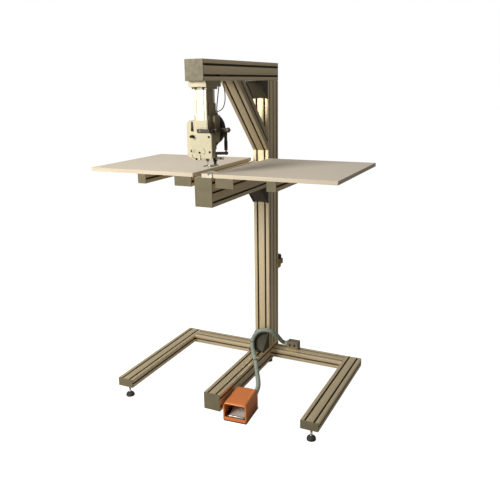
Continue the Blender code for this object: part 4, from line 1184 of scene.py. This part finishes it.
    def handwheel(self) -> None:
        """Turn the domed wheel: a knurled rim, a smooth dome and a hub cap; and the shaft in front."""
        x, z = self.shaft
        front = -0.5445
        profile = [(0.0, front), (0.0570, front), (0.0615, front + 0.0006)] \
            + [(0.0655, front + 0.0030), (0.0660, front + 0.0050), (0.0660, front + 0.0115),
               (0.0652, front + 0.0135)] \
            + [(0.0622, front + 0.0150), (0.0616, front + 0.0162)]
        dome = np.radians(np.linspace(6.0, 86.0, 16))
        profile += [(0.0610 * math.cos(a) ** 0.9, front + 0.0162 + 0.0150 * math.sin(a)) for a in dome]
        profile += [(0.0, front + 0.0162 + 0.0152)]
        shape = np.asarray(profile)
        angle = np.linspace(0.0, 2.0 * math.pi, 192, endpoint=False)[None, :]
        knurl = 0.0004 * (0.5 + 0.5 * np.cos(64.0 * angle)) * (shape[:, :1] > 0.0656)
        r = np.maximum(shape[:, :1], 1e-5) - knurl
        rows = np.stack([x + r * np.cos(angle), shape[:, 1:2] + COLUMN_Y + 0.0 * angle,
                         z + r * np.sin(angle)], -1)
        make_piece("handwheel_dome", [grid_shell(rows)], BLACK, "shaft", ["handwheel"],
                   angle=50.0)
        cap = turned_shell([(0.0, front + 0.0300), (0.0090, front + 0.0300), (0.0090, front + 0.0312),
                            (0.0080, front + 0.0322), (0.0, front + 0.0325)], Axis.Y, (x, 0.0, z), 40)
        make_piece("handwheel_hub", [cap], ZINC, "shaft")
        disc = turned_shell([(0.0, -0.6035), (0.0192, -0.6035), (0.0200, -0.6028), (0.0200, -0.5990),
                             (0.0195, -0.5985), (0.0050, -0.5985), (0.0050, -0.5448), (0.0, -0.5448)], Axis.Y,
                            (x, 0.0, z), 48)
        make_piece("main_shaft_steel", [disc], STEEL, "shaft", ["main_shaft"])

    def needle_bar(self) -> None:
        """Turn the needle bar with its brass clamp and screw, and the needle."""
        x, y = self.needle
        bar = turned_shell([(0.0, 1.1550), (0.0035, 1.1550), (0.0035, 1.2815), (0.0030, 1.2820),
                            (0.0, 1.2820)],
                           Axis.Z, (x, y, 0.0), 28)
        make_piece("needle_bar_rod", [bar], STEEL, "needle_group", ["needle_bar"])
        clamp = turned_shell([(0.0, 1.1442), (0.0052, 1.1442), (0.0062, 1.1452), (0.0070, 1.1460),
                              (0.0070, 1.1550),
                              (0.0062, 1.1560), (0.0, 1.1560)], Axis.Z, (x, y, 0.0), 36)
        guide = ring_shell(np.array([x, y + COLUMN_Y - 0.0074, 1.1470]), np.array([0.0, 0.0, 1.0]), 0.0010,
                           0.0012,
                           0.0006)
        make_piece("needle_clamp", [clamp, guide], BRASS, "needle_group")
        grip = socket_screw((x, y - 0.0064, 1.1502), (0.0, -1.0, 0.0), 0.0020, 0.0022)
        make_piece("needle_clamp_screw", [grip], BLACK_STEEL, "needle_group")
        needle = turned_shell([(0.0, 1.1200), (0.0002, 1.1202), (0.0007, 1.1260), (0.0007, 1.1360),
                               (0.0012, 1.1380), (0.0012, 1.1442), (0.0, 1.1442)], Axis.Z, (x, y, 0.0), 16)
        make_piece("needle_steel", [needle], STEEL, "needle_group", ["needle"])

    def take_up_and_tension(self) -> None:
        """Make the take-up lever with its eye, and the tension discs with their knurled nut."""
        outline = np.array([(-0.0410, 1.2610), (-0.0330, 1.2610), (-0.0330, 1.2720), (-0.0352, 1.2990),
                            (-0.0388, 1.2990), (-0.0410, 1.2720)])
        lever = slab(rounded(outline, 0.0016, 5), Axis.Y, -0.6288, -0.6262)
        eye = ring_shell(np.array([-0.037, -0.6275 + COLUMN_Y, 1.2952]), np.array([0.0, 1.0, 0.0]), 0.0010,
                         0.0032,
                         0.0008)
        pivot = socket_screw((-0.037, -0.6288, 1.2665), (0.0, -1.0, 0.0), 0.0028, 0.0018)
        make_piece("take_up_arm", [lever, eye, pivot], BLACK_STEEL, "take_up",
                   ["take_up_lever"],
                   bevel=0.0004)
        profile = np.array([(0.0, -0.6490), (0.0044, -0.6490), (0.0053, -0.6480), (0.0055, -0.6470),
                            (0.0055, -0.6420), (0.0051, -0.6410), (0.0034, -0.6408), (0.0034, -0.6388),
                            (0.0065, -0.6376), (0.0063, -0.6370), (0.0034, -0.6366), (0.0063, -0.6360),
                            (0.0065, -0.6354), (0.0030, -0.6342), (0.0030, -0.6333), (0.0, -0.6333)])
        angle = np.linspace(0.0, 2.0 * math.pi, 120, endpoint=False)[None, :]
        knurl = 0.0003 * (0.5 + 0.5 * np.cos(30.0 * angle)) * (profile[:, 1:2] < -0.6415) * (profile[:,
                                                                                                     :1] > 0.0052)
        r = np.maximum(profile[:, :1], 1e-5) - knurl
        rows = np.stack([-0.031 + r * np.cos(angle), profile[:, 1:2] + COLUMN_Y + 0.0 * angle,
                         1.242 + r * np.sin(angle)], -1)
        make_piece("tension_nut", [grid_shell(rows)], BLACK_STEEL, "tension",
                   ["tension_knob"])

    def presser_parts(self) -> None:
        """Make the presser bar, the forked foot and the lifting link with its rod."""
        x, y = self.presser
        bar = turned_shell([(0.0, 1.1675), (0.0040, 1.1675), (0.0040, 1.2475), (0.0035, 1.2480),
                            (0.0, 1.2480)],
                           Axis.Z, (x, y, 0.0), 28)
        make_piece("presser_bar_rod", [bar], STEEL, "presser", ["presser_bar"])
        fork = np.array([(0.0040, -0.6190), (0.0100, -0.6190), (0.0100, -0.5980), (0.0262, -0.5980),
                         (0.0262, -0.6190), (0.0400, -0.6190), (0.0440, -0.6150), (0.0440, -0.5640),
                         (0.0240, -0.5640), (0.0240, -0.5860), (0.0040, -0.5920)])
        sole = slab(rounded(fork, 0.0012, 4), Axis.Z, 1.1235, 1.1270)
        make_piece("presser_foot_sole", [sole], STEEL, "presser", ["presser_foot"],
                   bevel=0.0006)
        ankle = block((0.0282, 0.0408), (-0.5838, -0.5692), (1.1400, 1.1670), 0.0015)
        shank = block((0.0305, 0.0385), (-0.5820, -0.5710), (1.1255, 1.1420), 0.0015)
        make_piece("presser_foot_ankle", [ankle, shank], BLACK, "presser", bevel=0.0010)
        lever = block((0.0400, 0.0738), (-0.5838, -0.5722), (1.1492, 1.1578), 0.0024)
        make_piece("presser_foot_lever", [lever], NICKEL, "presser", bevel=0.0008)
        hinge = turned_shell([(0.0, 0.0285), (0.0028, 0.0285), (0.0028, 0.0405), (0.0, 0.0405)], Axis.X,
                             (0.0, -0.5765, 1.1300), 20)
        grip = socket_screw((0.0408, -0.5765, 1.1450), (1.0, 0.0, 0.0), 0.0030, 0.0034)
        make_piece("presser_foot_screw", [hinge, grip], ZINC, "presser")
        # painted shade: a thin near-black disc on the lever stands for the shade inside its eye
        eye = turned_shell([(0.0, -0.5841), (0.0030, -0.5841), (0.0030, -0.5830), (0.0, -0.5830)], Axis.Y,
                           (0.0640, 0.0, 1.1535), 24)
        make_piece("presser_lever_eye", [eye], DARK, "presser")
        outline = np.array([(0.0262, -0.5850), (0.0400, -0.5850), (0.0800, -0.5625), (0.0800, -0.5475),
                            (0.0660, -0.5475), (0.0262, -0.5670)])
        link = slab(rounded(outline, 0.0035, 6), Axis.Z, 1.1675, 1.1775)
        rx, ry = self.lifter
        make_piece("lifter_link_arm", [link], LINK_GREY, "presser", ["lifter_link"],
                   bevel=0.0010)
        rod = turned_shell([(0.0, 1.1775), (0.0032, 1.1775), (0.0032, 1.2420), (0.0, 1.2420)], Axis.Z,
                           (rx, ry, 0.0), 28)
        swell = np.radians(np.linspace(-88.0, 88.0, 17))
        ball = turned_shell([(0.0078 * math.cos(a), 1.1725 + 0.0078 * math.sin(a)) for a in swell], Axis.Z,
                            (rx, ry, 0.0), 32)
        make_piece("lifter_rod_joint", [rod, ball], BLACK_STEEL, "presser")
        screw = socket_screw((0.0262, -0.5760, 1.1725), (-1.0, 0.0, 0.0), 0.0028, 0.0030)
        make_piece("lifter_link_screw", [screw], ZINC, "presser")

    def lifter_parts(self) -> None:
        """Make the black bracket bar, the lifting cylinder and its round grey fitting."""
        outline = np.array([(-0.0120, -0.6345), (0.0445, -0.6345), (0.0445, -0.6060), (0.0600, -0.6060),
                            (0.0600, -0.5640), (0.0820, -0.5640), (0.0820, -0.5460), (0.0480, -0.5460),
                            (0.0480, -0.5960), (0.0325, -0.5960), (0.0325, -0.6255), (-0.0120, -0.6255)])
        bar = slab(rounded(outline, 0.0022, 5), Axis.Z, 1.2560, 1.2705)
        make_piece("lifter_bracket_bar", [bar], BRACKET_BROWN, replaced=["lifter_bracket"],
                   bevel=0.0010)
        screws = [socket_screw((0.0445, -0.6190, 1.2632), (1.0, 0.0, 0.0), 0.0048, 0.0030),
                  socket_screw((0.0030, -0.6345, 1.2632), (0.0, -1.0, 0.0), 0.0036, 0.0022)]
        make_piece("lifter_bracket_screws", screws, ZINC)
        fitting = turned_shell([(0.0, 0.0810), (0.0090, 0.0810), (0.0100, 0.0820), (0.0100, 0.0880),
                                (0.0090, 0.0892),
                                (0.0060, 0.0898), (0.0060, 0.0920), (0.0052, 0.0930), (0.0, 0.0930)], Axis.X,
                               (0.0, -0.5550, 1.2630), 36)
        make_piece("lifter_fitting", [fitting], LINK_GREY)
        x, y = self.lifter
        tube = turned_shell([(0.0040, 1.1840), (0.0060, 1.1840), (0.0070, 1.1856), (0.0070, 1.2200),
                             (0.0060, 1.2230),
                             (0.0060, 1.2420), (0.0068, 1.2426), (0.0068, 1.2500), (0.0058, 1.2556),
                             (0.0040, 1.2556)],
                            Axis.Z, (x, y, 0.0), 36, hollow=True)
        make_piece("lifter_cylinder_body", [tube], BLACK, replaced=["lifter_cylinder"])

    def looper(self) -> None:
        """Turn the looper shaft with its hook disc."""
        disc = turned_shell([(0.0, -0.6060), (0.0066, -0.6060), (0.0124, -0.6034), (0.0130, -0.6026),
                             (0.0130, -0.5994), (0.0124, -0.5990), (0.0040, -0.5984), (0.0040, -0.5200),
                             (0.0, -0.5200)], Axis.Y, (0.018, 0.0, 1.058), 40)
        make_piece("looper_shaft_steel", [disc], STEEL, "looper", ["looper_shaft"])

    def build(self) -> None:
        """Build the whole head."""
        self.hanger()
        self.casting()
        self.face()
        self.handwheel()
        self.needle_bar()
        self.take_up_and_tension()
        self.presser_parts()
        self.lifter_parts()
        self.looper()


# ---- foot pedal ---------------------------------------------------------------------------------------
@dataclass
class FootPedal:
    """The guarded foot pedal: base, hood, treadle and hose gland, in its own turned frame."""

    matrix: Array
    half_x: float = 0.055
    half_y: float = 0.075
    tilt: float = 15.0
    hinge: Color = (0.0, -0.0560, 0.0165)

    def local(self, shell: Shell, matrix: Optional[Array] = None) -> Shell:
        """Move a shell made by the shared builders from the pedal's frame to the part's frame."""
        own = Shell(shell.points - (0.0, COLUMN_Y, 0.0), shell.quads, shell.rings)
        return own.turned(self.matrix if matrix is None else matrix)

    def hood(self) -> None:
        """Carry an arch along the pedal; its height rises to the back, then it closes as a wall.

        Each station is half a rounded rectangle: (x, z) follows a superellipse of the hood's
        half width and height. The skin gets its wall with a Solidify modifier.
        """
        turn = np.linspace(0.0, math.pi, 49)
        y = np.concatenate([np.linspace(-0.0748, 0.060, 28),
                            0.060 + 0.0148 * np.sin(np.radians(np.arange(12, 91, 13)))])
        rise = np.where(y < -0.066, 0.0842 + (y + 0.0748) * 0.62, 0.0897 + (y + 0.066) * 0.0610)
        drop = np.where(y > 0.060,
                        1.0 - 0.085 * (1.0 - np.sqrt(np.maximum(0.0, 1.0 - ((y - 0.060) / 0.0150) ** 2))),
                        1.0)
        height = (rise * drop - 0.0063)[:, None]
        power = 0.20
        across = np.sign(np.cos(turn)) * np.abs(np.cos(turn)) ** power
        upward = np.abs(np.sin(turn)) ** (power * 1.1)
        narrow = (1.0 - 0.05 * np.clip((y - 0.060) / 0.0148, 0.0, 1.0) ** 2)[:, None]
        x = self.half_x * narrow * across[None, :]
        z = 0.0063 + height * upward[None, :]
        rows = np.stack([x, y[:, None] + 0.0 * x, z], -1)
        wall = rows[-1][None] * np.array([1.0, 1.0, 1.0])
        shrink = np.linspace(0.93, 0.02, 8)[:, None, None]
        centre = np.array([0.0, 0.0748, 0.045])
        wall = centre + (wall - centre) * np.concatenate([shrink, np.ones_like(shrink), shrink], axis=2)
        floor = np.maximum(wall[..., 2], 0.0063)
        wall = np.stack([wall[..., 0], wall[..., 1], floor], -1)
        skin = grid_shell(np.concatenate([rows, wall]), around=False)
        piece = make_piece("pedal_hood_shell", [skin.turned(self.matrix)], ORANGE,
                           replaced=["pedal_hood"], angle=50.0)
        thick = piece.modifiers.new("Wall", "SOLIDIFY")
        thick.thickness = 0.0042
        thick.offset = -1.0
        thick.use_even_offset = True
        sill = block((-0.0548, 0.0548), (-0.1 + 0.0252, -0.0700), (0.0063, 0.0190), 0.001)
        rims = [block(sorted((sign * 0.0546, sign * 0.0490)), (-0.0748, -0.0700), (0.0063, 0.070), 0.0008)
                for sign in (-1.0, 1.0)]
        make_piece("pedal_hood_sill", [self.local(shell) for shell in (sill, *rims)], ORANGE,
                   bevel=0.0009)

    def base(self) -> None:
        """Make the rubber base plate and the valve body behind the treadle."""
        plate = block((-self.half_x, self.half_x), (-self.half_y, self.half_y), (0.0, 0.0060), 0.004)
        make_piece("pedal_base_mat", [self.local(plate)], RUBBER, replaced=["pedal_base"],
                   bevel=0.0008)
        valve = block((0.010, 0.046), (0.0500, 0.0690), (0.0062, 0.070), 0.003)
        make_piece("pedal_valve_body", [self.local(valve)], BLACK_STEEL, bevel=0.0010)

    def treadle(self) -> None:
        """Make the ribbed treadle on its pin; the ribs run across it."""
        tilt = math.radians(self.tilt)
        lean = np.eye(4)
        lean[1:3, 1:3] = [[math.cos(tilt), -math.sin(tilt)], [math.sin(tilt), math.cos(tilt)]]
        lean[:3, 3] = self.hinge
        matrix = self.matrix @ lean
        plate = block((-0.036, 0.036), (-0.004, 0.0870), (-0.0020, 0.0018), 0.003)
        tail = block((-0.036, 0.036), (0.0970, 0.1080), (-0.0020, 0.0018), 0.003)
        sides = [block(sorted((sign * 0.0220, sign * 0.0360)), (0.0850, 0.0990), (-0.0020, 0.0018))
                 for sign in (-1.0, 1.0)]
        ribs = [block((-0.032, 0.032), (y, y + 0.0022), (0.0016, 0.0026), 0.0006) for y in np.arange(0.010,
                                                                                                     0.082,
                                                                                                     0.008)]
        pin = turned_shell([(0.0, -0.0475), (0.0038, -0.0475), (0.0040, -0.0470), (0.0040, 0.0470),
                            (0.0038, 0.0475), (0.0, 0.0475)], Axis.X, (0.0, 0.0, 0.0), 24)
        shells = [self.local(shell, matrix) for shell in (plate, tail, *sides, *ribs)]
        make_piece("treadle_plate", shells, PLATE_GREY, "treadle", ["pedal_plate"],
                   bevel=0.0004)
        make_piece("treadle_pin", [self.local(pin, matrix)], ZINC, "treadle")

    def gland(self) -> None:
        """Turn the hose gland: a hexagon-like flange, a ribbed nut and a soft collar."""
        y0 = self.half_y + GAP
        profile = [(0.0, y0), (0.0150, y0), (0.0150, y0 + 0.0050), (0.0135, y0 + 0.0064),
                   (0.0118, y0 + 0.0070),
                   (0.0118, y0 + 0.0130), (0.0112, y0 + 0.0140), (0.0104, y0 + 0.0176), (0.0, y0 + 0.0176)]
        shell = turned_shell(profile, Axis.Y, (0.030, 0.0, 0.055), 48)
        make_piece("pedal_gland_nut", [self.local(shell)], GREY, replaced=["pedal_gland"])

    def build(self) -> None:
        """Build the pedal."""
        self.base()
        self.hood()
        self.treadle()
        self.gland()


# ---- air fittings ------------------------------------------------------------------------------------
@dataclass
class AirFittings:
    """The valve block on the base and the pressure regulator behind the column."""

    def valve(self) -> None:
        """Make the block, its two push-in ports, screws and the hose fitting."""
        body = block((0.112, 0.172), (0.0, 0.040), (0.1003, 0.1400), 0.002)
        make_piece("valve_block_body", [body], VALVE, replaced=["valve_block"], bevel=0.0010)
        # painted shade: each port's inner disc is near-black for the shade inside the bore; its ring takes the
        # same finish
        ports = [turned_shell([(0.0036, 0.0020), (0.0062, 0.0020), (0.0062, -0.0002), (0.0056, -0.0006),
                               (0.0036, -0.0006)],
                              Axis.Y, (x, 0.0, 0.121), 32, hollow=True) for x in (0.130, 0.154)]
        ports += [turned_shell([(0.0, 0.001), (0.0040, 0.001), (0.0040, -0.0001), (0.0, -0.0001)], Axis.Y,
                               (x, 0.0, 0.121), 24) for x in (0.130, 0.154)]
        make_piece("valve_ports", ports, DARK)
        screws = [socket_screw((x, y, 0.1388), (0.0, 0.0, 1.0), 0.0030, 0.0011) for x in (0.118, 0.166)
                  for y in (0.007, 0.033)]
        make_piece("valve_screws", screws, ZINC)
        fitting = turned_shell([(0.0, 0.0980), (0.0100, 0.0980), (0.0112, 0.0990), (0.0115, 0.1030),
                                (0.0135, 0.1045), (0.0140, 0.1060), (0.0140, 0.1110), (0.0134, 0.1117),
                                (0.0, 0.1117)], Axis.X, (0.0, 0.018, 0.122), 48)
        make_piece("valve_gland_nut", [fitting], GREY, replaced=["valve_gland"])

    def regulator(self) -> None:
        """Make the regulator body, bowl, port and the turning knob."""
        body = block((0.012, 0.050), (0.0603, 0.100), (0.534, 0.560), 0.003)
        bowl = turned_shell([(0.0, 0.5080), (0.0040, 0.5080), (0.0045, 0.5110)] + arc(0.0090, -70.0, -5.0,
                                                                                      (0.0050, 0.5210), 6)
                            + [(0.0140, 0.5340), (0.0, 0.5345)], Axis.Z, (0.031, 0.0801, 0.0), 40)
        make_piece("regulator_body", [body, bowl], BRASS, replaced=["regulator"], bevel=0.0012)
        shape = np.array([(0.0, 0.5603), (0.0150, 0.5603), (0.0158, 0.5630), (0.0165, 0.5650),
                          (0.0165, 0.5790),
                          (0.0155, 0.5815), (0.0135, 0.5830), (0.0, 0.5830)])
        angle = np.linspace(0.0, 2.0 * math.pi, 144, endpoint=False)[None, :]
        flute = 0.0007 * (0.5 + 0.5 * np.cos(24.0 * angle)) * (shape[:, :1] > 0.0157)
        r = np.maximum(shape[:, :1], 1e-5) - flute
        rows = np.stack([0.031 + r * np.cos(angle), 0.0801 + COLUMN_Y + r * np.sin(angle),
                         shape[:, 1:2] + 0.0 * angle], -1)
        make_piece("regulator_cap_knob", [grid_shell(rows)], BLACK, "regulator_cap",
                   ["regulator_knob"])

    def build(self) -> None:
        """Build both fittings."""
        self.valve()
        self.regulator()


# ---- studio --------------------------------------------------------------------------------------------
@dataclass
class Studio:
    """Pale floor, soft key from the operator's left, a weak fill and a pale sky."""

    sky: float = 0.19

    def floor(self) -> None:
        """Make the pale floor."""
        corners = np.array([(-30.0, -30.0, 0.0), (30.0, -30.0, 0.0), (30.0, 30.0, 0.0), (-30.0, 30.0, 0.0)])
        mesh = bpy.data.meshes.new("floor")
        mesh.from_pydata(corners.tolist(), [], [(0, 1, 2, 3)])
        graph = Graph("floor_white", 0.9)
        graph.value("Base Color", (0.40, 0.40, 0.40, 1.0))
        graph.value("Emission Color", (1.0, 1.0, 1.0, 1.0))
        ray = graph.tree.nodes.new("ShaderNodeLightPath")
        graph.wire(graph.math("MULTIPLY", ray.outputs["Is Camera Ray"], 0.95), "Emission Strength")
        mesh.materials.append(graph.material)
        piece = bpy.data.objects.new("floor", mesh)
        bpy.context.scene.collection.objects.link(piece)

    def lamp(self, name: str, place: Sequence[float], aim: Sequence[float], size: float, power: float,
             color: Color = (1.0, 1.0, 1.0)) -> None:
        """Make a square area lamp that points at a place.

        Args:
            name: the lamp's name.
            place: where it hangs.
            aim: what it points at.
            size: its side.
            power: its power in watts.
            color: its colour.
        """
        data = bpy.data.lights.new(name, "AREA")
        data.size = size
        data.energy = power
        data.color = color
        lamp = bpy.data.objects.new(name, data)
        bpy.context.scene.collection.objects.link(lamp)
        back = unit(np.asarray(place, float) - np.asarray(aim, float))
        right = unit(np.cross((0.0, 0.0, 1.0), back))
        matrix = np.eye(4)
        matrix[:3, 0], matrix[:3, 1], matrix[:3, 2], matrix[:3, 3] = right, np.cross(back, right), back, place
        lamp.matrix_world = Matrix(matrix.tolist())

    def build(self) -> None:
        """Build the floor, sky and lamps."""
        self.floor()
        world = bpy.data.worlds.new("sky")
        bpy.context.scene.world = world
        world.use_nodes = True
        tree = world.node_tree
        background = tree.nodes["Background"]
        background.inputs["Color"].default_value = (1.0, 0.985, 0.955, 1.0)
        background.inputs["Strength"].default_value = self.sky
        seen = tree.nodes.new("ShaderNodeBackground")
        seen.inputs["Color"].default_value = (1.0, 1.0, 1.0, 1.0)
        seen.inputs["Strength"].default_value = 1.0
        ray = tree.nodes.new("ShaderNodeLightPath")
        chosen = tree.nodes.new("ShaderNodeMixShader")
        tree.links.new(ray.outputs["Is Camera Ray"], chosen.inputs[0])
        tree.links.new(background.outputs[0], chosen.inputs[1])
        tree.links.new(seen.outputs[0], chosen.inputs[2])
        tree.links.new(chosen.outputs[0], tree.nodes["World Output"].inputs["Surface"])
        bpy.context.scene.view_settings.view_transform = "Standard"
        self.lamp("key", (-1.5, -2.9, 2.3), (0.0, 0.0, 0.75), 1.3, 112.0, (1.0, 0.96, 0.90))
        self.lamp("top", (-0.6, 0.4, 3.4), (-0.1, 0.0, 0.9), 1.6, 18.0)


def main() -> None:
    """Build the station in order: camera, cords, stand, tables, head, pedal, fittings, studio."""
    logging.basicConfig(level=logging.INFO, format="%(name)s %(message)s")
    Viewpoint().build()
    supply = Supply()
    supply.hose()
    supply.cables()
    stand = Stand()
    stand.build()
    Tables().build(stand)
    SewingHead().build()
    FootPedal(supply.pedal_matrix()).build()
    AirFittings().build()
    Studio().build()


if __name__ == "__main__":
    main()
